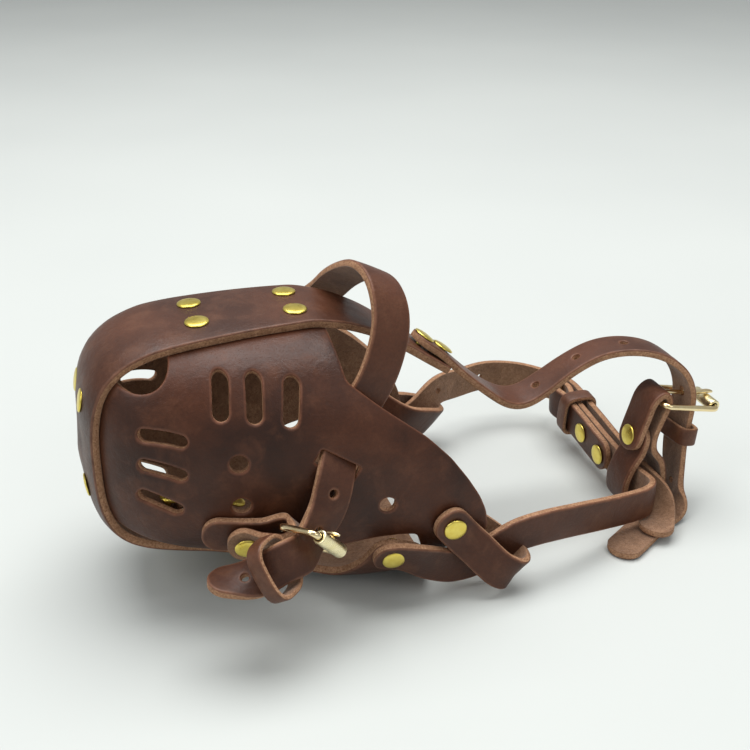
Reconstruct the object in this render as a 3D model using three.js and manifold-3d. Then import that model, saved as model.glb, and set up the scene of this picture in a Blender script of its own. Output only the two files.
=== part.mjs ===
// Basket muzzle for a medium to large dog, brown harness leather with brass fittings.
// Millimetres. The nose points to -X, the wearer's right is -Y (the near side), +Z is up.
import * as THREE from "three";
import { mergeVertices } from "three/addons/utils/BufferGeometryUtils.js";
import Module from "manifold-3d";

const wasm = await Module();
wasm.setup();

const LEATHER = 3; // leather thickness
const GAP = 0.4; // clearance between two layers of leather
const STRAP = 15; // strap width
const SHANK = 1.4; // rivet shank radius
const SHANK_HOLE = 1.9; // hole punched for a rivet
const SEAT_GAP = 0.6; // clearance between a rivet head and the leather
const WIRE = 1.3; // buckle wire radius
const RIVET_STATION_Y = 9; // half the spacing of a rivet pair across the centre band

const root = new THREE.Group();
root.name = "basket_muzzle";
root.position.x = -24; // the origin lies at the middle of the flat under the chin
const V = (x, y, z) => new THREE.Vector3(x, y, z);

// ---------------------------------------------------------------- materials

const COLOURS = { leather: 0x4a2a20, brass: 0xc9a545, gold: 0xd9c08a };

function addMesh(name, geometry, kind) {
  const material = new THREE.MeshStandardMaterial({ color: COLOURS[kind], name: kind });
  const mesh = new THREE.Mesh(geometry, material);
  mesh.name = name;
  root.add(mesh);
  return mesh;
}

// ---------------------------------------------------------------- solids

function solidOf(geometry) {
  const bare = geometry.clone();
  bare.deleteAttribute("normal");
  bare.deleteAttribute("uv");
  const merged = mergeVertices(bare, 1e-4);
  const mesh = new wasm.Mesh({
    numProp: 3,
    vertProperties: new Float32Array(merged.attributes.position.array),
    triVerts: new Uint32Array(merged.index.array),
  });
  return new wasm.Manifold(mesh);
}

function geometryOf(solid) {
  const mesh = solid.getMesh();
  const count = mesh.numProp;
  const points = new Float32Array(mesh.numVert * 3);
  for (let i = 0; i < mesh.numVert; i++) {
    points.set(mesh.vertProperties.subarray(i * count, i * count + 3), i * 3);
  }
  const geometry = new THREE.BufferGeometry();
  geometry.setAttribute("position", new THREE.BufferAttribute(points, 3));
  geometry.setIndex(new THREE.BufferAttribute(new Uint32Array(mesh.triVerts), 1));
  return geometry;
}

function facesGeometry(points, faces) {
  const geometry = new THREE.BufferGeometry();
  const flat = points.flatMap((p) => [p.x, p.y, p.z]);
  geometry.setAttribute("position", new THREE.Float32BufferAttribute(flat, 3));
  geometry.setIndex(faces.flat());
  return geometry;
}

// Rings of equal length joined in a row; the two ends are closed by a fan round their centre.
function ringsGeometry(rings, closed = false) {
  const size = rings[0].length;
  const points = rings.flat();
  const faces = [];
  const rows = closed ? rings.length : rings.length - 1;
  for (let i = 0; i < rows; i++) {
    const next = (i + 1) % rings.length;
    for (let j = 0; j < size; j++) {
      const k = (j + 1) % size;
      const [a, b] = [i * size + j, i * size + k];
      const [c, d] = [next * size + k, next * size + j];
      faces.push([a, b, c], [a, c, d]);
    }
  }
  if (!closed) {
    for (const [ring, flip] of [[0, true], [rings.length - 1, false]]) {
      const middle = rings[ring].reduce((s, p) => s.add(p), V(0, 0, 0)).divideScalar(size);
      points.push(middle);
      for (let j = 0; j < size; j++) {
        const [a, b] = [ring * size + j, ring * size + ((j + 1) % size)];
        faces.push(flip ? [points.length - 1, b, a] : [points.length - 1, a, b]);
      }
    }
  }
  return facesGeometry(points, faces);
}

function outward(geometry) {
  const solid = solidOf(geometry);
  if (solid.volume() >= 0) return solid;
  const index = geometry.index.array;
  for (let i = 0; i < index.length; i += 3) [index[i + 1], index[i + 2]] = [index[i + 2], index[i + 1]];
  return solidOf(geometry);
}

// A flat outline in the side view (x, z), drawn out along Y between two values.
function sidePrism(outline, yLow, yHigh) {
  const flat = outline.map(([x, z]) => new THREE.Vector2(x, z));
  if (THREE.ShapeUtils.area(flat) < 0) flat.reverse();
  const size = flat.length;
  const points = [yLow, yHigh].flatMap((y) => flat.map((p) => V(p.x, y, p.y)));
  const faces = [];
  for (const [a, b, c] of THREE.ShapeUtils.triangulateShape(flat, [])) {
    const turn = flat[b].clone().sub(flat[a]).cross(flat[c].clone().sub(flat[a]));
    const [p, q] = turn > 0 ? [b, c] : [c, b];
    faces.push([a, p, q], [a + size, q + size, p + size]);
  }
  for (let j = 0; j < size; j++) {
    const k = (j + 1) % size;
    faces.push([j, j + size, k + size], [j, k + size, k]);
  }
  return outward(facesGeometry(points, faces));
}

function rod(from, to, radius, segments = 12) {
  const axis = to.clone().sub(from);
  const cylinder = new THREE.CylinderGeometry(radius, radius, axis.length(), segments);
  const turn = new THREE.Quaternion().setFromUnitVectors(V(0, 1, 0), axis.clone().normalize());
  cylinder.applyQuaternion(turn);
  const middle = from.clone().add(to).multiplyScalar(0.5);
  cylinder.translate(middle.x, middle.y, middle.z);
  return solidOf(cylinder);
}

// ---------------------------------------------------------------- moulded basket surface

function monotone(table) {
  const xs = table.map((r) => r[0]);
  const ys = table.map((r) => r[1]);
  const slope = xs.slice(1).map((x, i) => (ys[i + 1] - ys[i]) / (x - xs[i]));
  const tangent = xs.map((_, i) => {
    if (i === 0) return slope[0];
    if (i === xs.length - 1) return slope[i - 1];
    const [a, b] = [slope[i - 1], slope[i]];
    return a * b <= 0 ? 0 : (2 * a * b) / (a + b);
  });
  return (x) => {
    const at = Math.min(Math.max(x, xs[0]), xs[xs.length - 1]);
    let i = 0;
    while (i < xs.length - 2 && at > xs[i + 1]) i++;
    const h = xs[i + 1] - xs[i];
    const t = (at - xs[i]) / h;
    const [t2, t3] = [t * t, t * t * t];
    return (
      (2 * t3 - 3 * t2 + 1) * ys[i] +
      (t3 - 2 * t2 + t) * h * tangent[i] +
      (3 * t2 - 2 * t3) * ys[i + 1] +
      (t3 - t2) * h * tangent[i + 1]
    );
  };
}

const NOSE_X = -84.6;
const topZ = monotone([
  [-84, 72], [-83, 84], [-80, 94], [-74, 101], [-66, 105], [-55, 107.6], [-40, 108.4],
  [-20, 108.8], [0, 108.4], [11, 106], [25, 100], [40, 90], [55, 78.5], [72, 66],
]);
const bottomZ = monotone([
  [-84, 49], [-83, 42], [-80, 34.5], [-74, 28.5], [-66, 25], [-55, 22], [-40, 18.5],
  [-20, 12], [-5, 6], [6, 2.9], [42, 2.9], [72, 5],
]);
const halfWidth = monotone([
  [-84, 9], [-83, 16], [-80, 25], [-74, 33], [-66, 39], [-55, 43.5], [-40, 47.5],
  [-20, 50], [0, 52], [20, 53.5], [45, 54.5], [72, 55],
]);
const ROUND_TOP = 0.62;
const roundChin = monotone([[-84, 0.62], [-20, 0.62], [0, 0.54], [20, 0.46], [72, 0.46]]);
const roundY = (x, phi) => (Math.cos(phi) > 0 ? ROUND_TOP : roundChin(x));
const ROUND_Z = 0.86;

// Point on the outside of the basket; phi runs from 0 at the top line to PI at the chin line.
function basketPoint(x, phi, side = -1) {
  const [top, bottom] = [topZ(x), bottomZ(x)];
  const middle = (top + bottom) / 2 - 4;
  const c = Math.cos(phi);
  const reach = c > 0 ? top - middle : bottom - middle;
  return V(
    x,
    side * halfWidth(x) * Math.pow(Math.abs(Math.sin(phi)), roundY(x, phi)),
    middle + reach * Math.pow(Math.abs(c), ROUND_Z),
  );
}

function basketNormal(x, phi, side = -1) {
  const step = 0.02;
  const safe = Math.min(Math.max(phi, 0.03), Math.PI - 0.03);
  const alongX = basketPoint(x + 0.3, safe, side).sub(basketPoint(x - 0.3, safe, side));
  const alongPhi = basketPoint(x, safe + step, side).sub(basketPoint(x, safe - step, side));
  const normal = alongX.cross(alongPhi).normalize();
  const middle = V(-30, 0, 55);
  if (normal.dot(basketPoint(x, phi, side).sub(middle)) < 0) normal.negate();
  return normal;
}

// phi of the point of the basket at height z.
function phiAt(x, z) {
  const [top, bottom] = [topZ(x), bottomZ(x)];
  const middle = (top + bottom) / 2 - 4;
  const share = z > middle ? (z - middle) / (top - middle) : (middle - z) / (middle - bottom);
  const angle = Math.acos(Math.min(share, 1) ** (1 / ROUND_Z));
  return z > middle ? angle : Math.PI - angle;
}

// phi of the point of the top (or chin) wall at the distance y from the centre plane.
function phiOfY(x, y, chin = false) {
  const share = Math.min(Math.abs(y) / halfWidth(x), 1);
  const angle = Math.asin(share ** (1 / (chin ? roundChin(x) : ROUND_TOP)));
  return chin ? Math.PI - angle : angle;
}

function onBasket(x, phi, side, offset) {
  const point = basketPoint(x, phi, side);
  return point.addScaledVector(basketNormal(x, phi, side), offset);
}

const STATIONS_X = [-84, -83.4, -82, -79.5, -75, -69, -61, -50, -36, -20, -4, 10, 24, 38, 52, 70];
const PHI_STEPS = 16;

function basketLoft(offset) {
  const rings = STATIONS_X.map((x) => {
    const ring = [];
    for (let j = 0; j < PHI_STEPS; j++) {
      ring.push(onBasket(x, (Math.PI * j) / PHI_STEPS, -1, offset));
    }
    for (let j = PHI_STEPS; j > 0; j--) {
      ring.push(onBasket(x, (Math.PI * j) / PHI_STEPS, 1, offset));
    }
    ring[0].y = 0;
    ring[PHI_STEPS].y = 0;
    return ring;
  });
  const nose = V(NOSE_X - offset, 0, 60);
  const tip = rings[0].map((p) => p.clone().lerp(nose, 0.94).setX(NOSE_X - offset));
  return outward(ringsGeometry([tip, ...rings]));
}

const insideOfPanels = basketLoft(-LEATHER);
const outsideOfPanels = basketLoft(0);
const insideOfBand = basketLoft(GAP);
const outsideOfBand = basketLoft(GAP + LEATHER);

// ---------------------------------------------------------------- rivets

const rivetHoles = []; // {from, to}: every punched hole, cut from each piece it runs through

// A rivet through layers between two offsets from a seat point along its axis.
function rivet(name, seat, axis, inner, outer) {
  const cap = 4.6;
  const back = 3.8;
  const top = outer + SEAT_GAP;
  const low = inner - SEAT_GAP;
  const profile = [
    [0, low - 0.8], [back, low - 0.8], [back, low], [SHANK, low], [SHANK, top],
    [cap, top], [cap - 0.4, top + 0.6], [2.6, top + 1.2], [0, top + 1.5],
  ];
  const lathe = new THREE.LatheGeometry(profile.map(([r, h]) => new THREE.Vector2(r, h)), 10);
  const solid = outward(indexed(lathe));
  const geometry = geometryOf(solid);
  geometry.applyQuaternion(new THREE.Quaternion().setFromUnitVectors(V(0, 1, 0), axis));
  geometry.translate(seat.x, seat.y, seat.z);
  addMesh(name, geometry, "brass");
  rivetHoles.push({
    from: seat.clone().addScaledVector(axis, inner - 2.5),
    to: seat.clone().addScaledVector(axis, outer + 2.5),
  });
}

function indexed(geometry) {
  const bare = geometry.clone();
  bare.deleteAttribute("normal");
  bare.deleteAttribute("uv");
  return mergeVertices(bare, 1e-4);
}

function punch(solid) {
  let result = solid;
  for (const { from, to } of rivetHoles) result = result.subtract(rod(from, to, SHANK_HOLE, 8));
  return result;
}

const PAIR_TOP_X = [-40, -2.5];
const PAIR_CHIN_X = [-56, -28];
const PAIR_NOSE = [ // the nose is nearly flat: offsets of the leather from the plane x = -84
  { z: 86, axis: [-0.97, 0, 0.24], inner: -5.1, outer: 1.9 },
  { z: 50, axis: [-0.99, 0, -0.12], inner: -3.8, outer: 3.4 },
];
for (const [side, label] of [[-1, "near"], [1, "far"]]) {
  PAIR_TOP_X.forEach((x, i) => {
    const phi = phiOfY(x, RIVET_STATION_Y);
    const axis = basketNormal(x, phi, side);
    rivet(`top_rivet_${i + 1}_${label}`, basketPoint(x, phi, side), axis, -LEATHER - 0.6, LEATHER + GAP);
  });
  PAIR_CHIN_X.forEach((x, i) => {
    const phi = phiOfY(x, RIVET_STATION_Y, true);
    const axis = basketNormal(x, phi, side);
    rivet(`chin_rivet_${i + 1}_${label}`, basketPoint(x, phi, side), axis, -LEATHER - 0.6, LEATHER + GAP);
  });
  PAIR_NOSE.forEach(({ z, axis, inner, outer }, i) => {
    const seat = V(-84, side * RIVET_STATION_Y, z);
    rivet(`nose_rivet_${i + 1}_${label}`, seat, V(...axis).normalize(), inner, outer);
  });
}

// ---------------------------------------------------------------- side panels

const PANEL_OUTLINE = [
  [-100, 130], [9, 130], [7.5, 104.6], [8.7, 94.7], [20.6, 84.5], [37.6, 70.9], [47, 61],
  [53.6, 51.5], [58.5, 43], [61.3, 35.7], [62.3, 28], [60, 21.5], [53, 18.2], [40, 18.6],
  [36, 20], [33, 29.4], [26, 30.4], [17, 30.6], [5, 29], [-6, 26], [-14, 20], [-14, -10], [-46, -10], [-54, 27], [-82, 41],
  [-100, 41],
];
const SLOTS = [
  { a: [-37.1, 99.6], b: [-38.7, 90], w: 6 },
  { a: [-25.4, 98.4], b: [-26.8, 88], w: 6 },
  { a: [-11.9, 96], b: [-14.1, 85.2], w: 6 },
  { a: [-65.8, 82.6], b: [-53.9, 80.8], w: 5 },
  { a: [-66.8, 71.2], b: [-55.2, 67.8], w: 5 },
  { a: [-68.2, 58.4], b: [-57.6, 53.2], w: 5 },
];
const HOLES = [
  { at: [-34.3, 71], d: 7 }, { at: [-34.4, 53.3], d: 7 }, { at: [20.6, 46], d: 6.4 },
];
const NOTCH = { at: [-66, 109], r: 13 };
const SLIT = { a: [-5.6, 71], b: [9, 61.4], w: 7 };

function stadium([ax, az], [bx, bz], width, arc = 6) {
  const turn = Math.atan2(bz - az, bx - ax);
  const r = width / 2;
  const outline = [];
  for (let i = 0; i <= arc; i++) {
    const t = turn - Math.PI / 2 + (Math.PI * i) / arc;
    outline.push([bx + r * Math.cos(t), bz + r * Math.sin(t)]);
  }
  for (let i = 0; i <= arc; i++) {
    const t = turn + Math.PI / 2 + (Math.PI * i) / arc;
    outline.push([ax + r * Math.cos(t), az + r * Math.sin(t)]);
  }
  return outline;
}

function disc([x, z], r, steps = 14) {
  return Array.from({ length: steps }, (_, i) => {
    const t = (2 * Math.PI * i) / steps;
    return [x + r * Math.cos(t), z + r * Math.sin(t)];
  });
}

function slitOutline({ a, b, w }) {
  const t = Math.atan2(b[1] - a[1], b[0] - a[0]);
  const [nx, nz] = [(-Math.sin(t) * w) / 2, (Math.cos(t) * w) / 2];
  return [[a[0] - nx, a[1] - nz], [b[0] - nx, b[1] - nz], [b[0] + nx, b[1] + nz], [a[0] + nx, a[1] + nz]];
}

function sidePanel(side) {
  const [low, high] = side < 0 ? [-80, -2.5] : [2.5, 80];
  let panel = outsideOfPanels.subtract(insideOfPanels);
  panel = panel.intersect(sidePrism(PANEL_OUTLINE, low, high));
  const cuts = [
    ...SLOTS.map((s) => stadium(s.a, s.b, s.w)),
    ...HOLES.map((h) => disc(h.at, h.d / 2)),
    disc(NOTCH.at, NOTCH.r, 20),
    slitOutline(SLIT),
  ];
  for (const cut of cuts) panel = panel.subtract(sidePrism(cut, low, high));
  return panel;
}

// ---------------------------------------------------------------- centre band

const BAND_TOP = [ // half width along the top, from the nose to the tail
  [-110, 22], [-60, 22], [-20, 20], [10, 17.5], [40, 12.5], [62, 8.5],
];
const BAND_CHIN = [ // half width along the chin, from the nose to the tongue
  [-110, 22], [-50, 22], [-30, 23.5], [-15, 29], [0, 38], [10, 46.5], [17, 51.4], [25, 52], [33, 51.8],
  [39, 49.5], [43, 41],
];

function planPrism(halfWidths, zLow, zHigh) {
  const near = halfWidths.map(([x, y]) => [x, -y]);
  const far = halfWidths.map(([x, y]) => [x, y]).reverse();
  const outline = [...near, ...far];
  const prism = sidePrism(outline, zLow, zHigh);
  // the side prism is drawn in x and z: turn it so that its outline lies in x and y
  return prism.rotate([90, 0, 0]);
}

function centreBand() {
  const shell = outsideOfBand.subtract(insideOfBand);
  const top = planPrism(BAND_TOP, 55, 140);
  const chin = planPrism(BAND_CHIN, 0, 55.01);
  return shell.intersect(top).add(shell.intersect(chin));
}

// ---------------------------------------------------------------- straps

// A strap along control points {p, w}: p on its middle line, w its width direction.
// ends: "round" or "square" for the two ends; the body is a closed solid of even thickness.
function strap(points, { width = STRAP, step = 6, ends = ["round", "round"], thick = LEATHER } = {}) {
  const path = new THREE.CatmullRomCurve3(points.map(({ p }) => V(...p)), false, "centripetal");
  const length = path.getLength();
  const knots = cumulative(points, path);
  const cuts = new Set([0, length]);
  const count = Math.max(2, Math.round(length / step));
  for (let i = 1; i < count; i++) cuts.add((length * i) / count);
  const r = width / 2;
  for (const share of [0.03, 0.13, 0.3, 0.6, 1]) {
    if (ends[0] === "round") cuts.add(r * share);
    if (ends[1] === "round") cuts.add(length - r * share);
  }
  const rings = [...cuts].sort((a, b) => a - b).filter((s, i, all) => !i || s - all[i - 1] > 0.05).map((s) => {
    const u = s / length;
    const centre = path.getPointAt(u);
    const along = path.getTangentAt(u);
    const across = directionAt(points, knots, s);
    across.addScaledVector(along, -across.dot(along)).normalize();
    const normal = across.clone().cross(along).normalize();
    let half = r;
    if (ends[0] === "round" && s < r) half = Math.min(half, roundHalf(r, s));
    if (ends[1] === "round" && length - s < r) half = Math.min(half, roundHalf(r, length - s));
    const corner = (a, b) =>
      centre.clone().addScaledVector(across, a * half).addScaledVector(normal, (b * thick) / 2);
    return [corner(-1, -1), corner(1, -1), corner(1, 1), corner(-1, 1)];
  });
  return outward(ringsGeometry(rings));
}

function roundHalf(r, s) {
  return Math.max(r * 0.22, Math.sqrt(Math.max(r * r - (r - s) * (r - s), 0)));
}

// Arc length of each control point along the curve.
function cumulative(points, path) {
  const parts = points.length - 1;
  const lengths = path.getLengths(parts * 40);
  return points.map((_, i) => lengths[i * 40]);
}

function directionAt(points, knots, s) {
  let i = 0;
  while (i < knots.length - 2 && s > knots[i + 1]) i++;
  const t = Math.min(Math.max((s - knots[i]) / (knots[i + 1] - knots[i]), 0), 1);
  const smooth = t * t * (3 - 2 * t);
  return V(...points[i].w).normalize().lerp(V(...points[i + 1].w).normalize(), smooth).normalize();
}

const at = (p, w) => ({ p, w });
const mirrored = (points) => points.map(({ p, w }) => at([p[0], -p[1], p[2]], [w[0], -w[1], w[2]]));
const onSide = (x, z, side, offset) => onBasket(x, phiAt(x, z), side, offset).toArray();

// Side loop: folded over the lobe of the panel, its two arms held by one rivet.
const LOOP_RIVET = [47, 32.5];
const LOOP_OUT = LEATHER / 2 + GAP;
const LOOP_IN = -LEATHER * 1.5 - GAP;
const LOOP_ACROSS = [0.68, 0, 0.73];
const sideLoop = [
  at(onSide(41.5, 38.5, -1, LOOP_OUT + 0.4), LOOP_ACROSS),
  at(onSide(47, 32.5, -1, LOOP_OUT + 0.3), LOOP_ACROSS),
  at(onSide(51, 27.8, -1, LOOP_OUT + 1.3), LOOP_ACROSS),
  at([55.6, -59.4, 22.2], LOOP_ACROSS),
  at([60.6, -62, 16.4], LOOP_ACROSS),
  at([65.2, -64, 12], LOOP_ACROSS),
  at([70, -63.8, 10], LOOP_ACROSS),
  at([73.2, -59.2, 10.6], LOOP_ACROSS),
  at([71, -52.4, 12.8], LOOP_ACROSS),
  at([65.6, -46.4, 17], LOOP_ACROSS),
  at([58, -43.4, 22.8], LOOP_ACROSS),
  at(onSide(47, 32.5, -1, LOOP_IN - 0.4), LOOP_ACROSS),
  at(onSide(41.5, 38.5, -1, LOOP_IN - 0.4), LOOP_ACROSS),
];

// The far loop hangs a little longer and further back.
const farLoop = [
  at(onSide(41.5, 38.5, 1, LOOP_OUT + 0.4), LOOP_ACROSS),
  at(onSide(47, 32.5, 1, LOOP_OUT + 0.3), LOOP_ACROSS),
  at(onSide(51.6, 28.6, 1, LOOP_OUT + 1.3), LOOP_ACROSS),
  at([58.4, 60.4, 24.4], LOOP_ACROSS),
  at([66.4, 64, 20.6], LOOP_ACROSS),
  at([75, 65.4, 16.8], LOOP_ACROSS),
  at([81.6, 61.4, 14.2], LOOP_ACROSS),
  at([79.4, 53.6, 15.4], LOOP_ACROSS),
  at([71.4, 47.6, 19.4], LOOP_ACROSS),
  at([60.4, 43.8, 24.2], LOOP_ACROSS),
  at(onSide(47, 32.5, 1, LOOP_IN - 0.4), LOOP_ACROSS),
  at(onSide(41.5, 38.5, 1, LOOP_IN - 0.4), LOOP_ACROSS),
];

const CHIN_OUT = 2 * GAP + LEATHER * 1.5 + 0.5;
const CHIN_RIVET = [22.3, 25.5];
const neckStart = [
  at(onSide(14.4, 25.6, -1, CHIN_OUT), [-0.1, -0.4, 0.91]),
  at(onSide(22.3, 25.5, -1, CHIN_OUT), [0, -0.4, 0.91]),
  at([31, -58.3, 21.6], [0.1, -0.3, 0.95]),
  at([40, -56.4, 16], [0.08, -0.15, 1]),
  at([48.6, -54.8, 12.4], [-0.05, 0, 1]),
  at([58.6, -54, 12.6], [-0.35, 0, 1]),
  at([66.5, -55.2, 17], [-0.45, 0, 0.9]),
  at([74.4, -56, 21.6], [-0.4, 0, 0.95]),
];
const nearNeck = [
  ...neckStart,
  at([84, -55.6, 22.8], [-0.1, 0, 1]),
  at([100, -52, 20.6], [0, 0, 1]),
  at([120, -47, 17], [0, 0, 1]),
  at([136, -43.4, 15], [0, 0, 1]),
  at([143.6, -42, 15.2], [0, 0, 1]),
  at([148.2, -38, 15.2], [0, 0, 1]),
  at([148.2, -32, 15], [0, 0, 1]),
  at([147.2, -21, 14.6], [0, 0, 1]),
  at([146.4, 0, 16.6], [0, 0, 1]),
  at([146.2, 20, 19.2], [0, 0, 1]),
  at([146.4, 36, 21], [0, 0, 1]),
  at([148, 44, 21.8], [0, 0, 1]),
  at([144.2, 50.4, 22.2], [0, 0, 1]),
  at([140.4, 44, 21.8], [0, 0, 1]),
  at([142.2, 36, 21], [0, 0, 1]),
  at([142.4, 20, 19.2], [0, 0, 1]),
  at([142.6, -8.6, 15.6], [0, 0, 1]),
];
const farNeck = [
  ...mirrored(neckStart),
  at([83, 59.2, 28.6], [-0.1, 0, 1]),
  at([97, 66.4, 27], [0, 0, 1]),
  at([115, 71.5, 26.4], [0, 0, 1]),
  at([131, 68.5, 24.8], [0, 0, 1]),
  at([141.5, 62, 23], [0, 0, 1]),
  at([149.6, 53, 22.2], [0, 0, 1]),
  at([151.8, 42, 21.6], [0, 0, 1]),
  at([151.4, 32, 20.6], [0, 0, 1]),
  at([151.6, 18, 19], [0, 0, 1]),
  at([151.6, 0, 16.6], [0, 0, 1]),
  at([151.9, -16, 14.6], [0, 0, 1]),
  at([153.2, -27, 12.6], [0.1, 0, 1]),
  at([153.8, -34.5, 9.2], [0.6, -0.15, 0.75]),
  at([150, -41.5, 5.6], [0.92, -0.3, 0.05]),
  at([145.4, -48.4, 5.5], [0.93, -0.36, 0]),
  at([142, -53, 5.4], [0.93, -0.36, -0.05]),
];

// Forehead strap: from the tail of the band, in a wave, down through its buckle and keeper.
const ACROSS_Y = [0, 1, 0];
const FOREHEAD_OUT = 2 * GAP + LEATHER * 1.5 + 0.5;
const onTop = (x, offset) => onBasket(x, 0, -1, offset).setY(0).toArray();
const forehead = [
  at(onTop(46, FOREHEAD_OUT), ACROSS_Y),
  at(onTop(57, FOREHEAD_OUT), ACROSS_Y),
  at([66, -0.6, 75.5], ACROSS_Y),
  at([80, -2, 62.6], ACROSS_Y),
  at([91, -3, 55.4], [0, 1, 0.1]),
  at([99, -2.6, 54.4], [0, 1, 0.12]),
  at([109, -2.4, 59], [0, 1, 0.1]),
  at([121, -3, 66.8], ACROSS_Y),
  at([134, -4, 72.4], ACROSS_Y),
  at([147, -7.5, 74], ACROSS_Y),
  at([159, -12, 71.4], ACROSS_Y),
  at([168, -16, 64], ACROSS_Y),
  at([171.4, -18.4, 54], ACROSS_Y),
  at([170.6, -19.4, 44], ACROSS_Y),
  at([168.8, -20.4, 32], ACROSS_Y),
  at([168.4, -22, 20], ACROSS_Y),
  at([167.4, -26, 9.5], [0.2, 1, 0]),
  at([163, -34, 3], [0.4, 1, 0]),
  at([151, -38.5, 2], [0.5, 1, 0]),
  at([136, -48, 2], [0.5, 1, 0]),
  at([122, -56.5, 2], [0.5, 1, 0]),
];

// Tab that carries the forehead buckle and hangs as a sliding loop on the neck strap.
const foreheadTab = [
  at([143.6, -20.8, 30], ACROSS_Y),
  at([145.2, -20.6, 36.5], ACROSS_Y),
  at([148.4, -20, 46], ACROSS_Y),
  at([152, -19.4, 54.8], ACROSS_Y),
  at([157, -19, 57.2], ACROSS_Y),
  at([159.6, -19, 53], ACROSS_Y),
  at([156, -20, 45], ACROSS_Y),
  at([153, -20.6, 37], ACROSS_Y),
  at([153.4, -20.7, 30.5], ACROSS_Y),
  at([157.8, -20.8, 24.4], ACROSS_Y),
  at([160, -20.8, 14], ACROSS_Y),
  at([160, -20.8, 4.4], ACROSS_Y),
  at([150.5, -20.8, 2.1], ACROSS_Y),
  at([142.4, -20.8, 5], ACROSS_Y),
  at([140.8, -20.8, 14], ACROSS_Y),
  at([143.2, -20.8, 22.5], ACROSS_Y),
  at([147.6, -20.7, 30], ACROSS_Y),
  at([149.1, -20.6, 36], ACROSS_Y),
  at([150.6, -20.6, 41], ACROSS_Y),
];

// Nose strap: riveted inside the far panel, arched over the band, out through the near slit,
// down to its buckle and back through its keeper.
const SLANT = [0.84, 0, -0.55];
const noseStrap = [
  at(onSide(3, 74, 1, LOOP_IN), [1, 0, -0.25]),
  at(onSide(7, 84, 1, LOOP_IN), [1, 0, -0.35]),
  at([14, 35.4, 94.5], [1, 0, -0.45]),
  at([19.8, 26.4, 103.5], [1, 0, -0.5]),
  at([22.2, 15, 112.8], [1, 0, -0.5]),
  at([24.7, 2, 120.6], [1, 0, -0.5]),
  at([26.8, -10, 125.2], [1, 0, -0.5]),
  at([28.4, -20, 124.8], [1, 0, -0.5]),
  at([28.9, -27.6, 120.6], [1, 0, -0.5]),
  at([28.4, -33, 112.6], [1, 0, -0.5]),
  at([25.4, -36.4, 102.4], [0.95, 0, -0.5]),
  at([20.4, -38.6, 91.6], SLANT),
  at([14.4, -39.8, 83], SLANT),
  at(onSide(6.6, 75.4, -1, -5.6), SLANT),
  at(onSide(3.1, 68.6, -1, -3.6), SLANT),
  at(onSide(1, 64.2, -1, 0.6), SLANT),
  at(onSide(-1, 59, -1, 3.4), [0.9, -0.05, -0.45]),
  at([-4.6, -58, 51.8], [0.75, 0, -0.65]),
  at([-12.4, -62.6, 43.4], [0.61, 0.265, -0.747]),
  at([-14.7, -65, 41.3], [0.6, 0.22, -0.76]),
  at([-18.4, -69.2, 42.2], [0.58, -0.08, -0.8]),
  at([-22.6, -71.2, 42.8], [0.55, -0.25, -0.8]),
  at([-27.2, -71.8, 41.6], [0.55, -0.25, -0.8]),
  at([-32.6, -71.6, 39], [0.4, -0.6, -0.68]),
  at([-39, -70.2, 37.2], [0.1, -0.97, -0.2]),
  at([-52, -67.4, 37.4], [0, -1, 0.1]),
];

// Short folded tab that carries the nose buckle, riveted low on the near panel.
const BUCKLE3 = {
  heel: [-16.8, -56.4, 42],
  along: [0.58, -0.79, 0.195],
  bar: [0.61, 0.265, -0.747],
  span: 17,
};
const tabTurn = (alongBy, outBy) => {
  const along = V(...BUCKLE3.along).normalize();
  const out = V(...BUCKLE3.bar).cross(along).normalize();
  return V(...BUCKLE3.heel).addScaledVector(along, alongBy).addScaledVector(out, outBy).toArray();
};
const noseTab = [
  at(onSide(-49, 43.5, -1, LOOP_OUT + 0.2), [0, 0.2, -1]),
  at(onSide(-41, 42.3, -1, LOOP_OUT + 0.2), [0, 0.2, -1]),
  at(onSide(-33, 41.4, -1, LOOP_OUT + 0.2), [0.1, 0.2, -1]),
  at(onSide(-25, 42.4, -1, LOOP_OUT + 0.9), [0.35, 0.25, -0.9]),
  at(tabTurn(-1.5, -4), BUCKLE3.bar),
  at(tabTurn(4.4, 0), BUCKLE3.bar),
  at(tabTurn(-1.5, 4), BUCKLE3.bar),
  at(onSide(-27, 40.6, -1, 7.6), [0.3, 0.25, -0.9]),
  at(onSide(-33, 41, -1, 6), [0.1, 0.2, -1]),
  at(onSide(-40, 41.8, -1, 5.8), [0, 0.2, -1]),
];

// ---------------------------------------------------------------- buckles

const OPENING = 17.6; // clear width of a buckle between its side wires
const PRONG_WIRE = 1;
const ROLLER_OUT = 2.8;
const ROLLER_IN = 1.7;

function sweep(points, radius, sides, closed) {
  const rings = points.map((p, i) => {
    const before = points[closed ? (i + points.length - 1) % points.length : Math.max(i - 1, 0)];
    const after = points[closed ? (i + 1) % points.length : Math.min(i + 1, points.length - 1)];
    const along = after.point.clone().sub(before.point).normalize();
    const out = p.flat.clone().addScaledVector(along, -p.flat.dot(along)).normalize();
    const up = along.clone().cross(out);
    return Array.from({ length: sides }, (_, j) => {
      const t = (2 * Math.PI * j) / sides;
      return p.point.clone()
        .addScaledVector(out, radius * Math.cos(t))
        .addScaledVector(up, radius * Math.sin(t));
    });
  });
  return outward(ringsGeometry(rings, closed));
}

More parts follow.
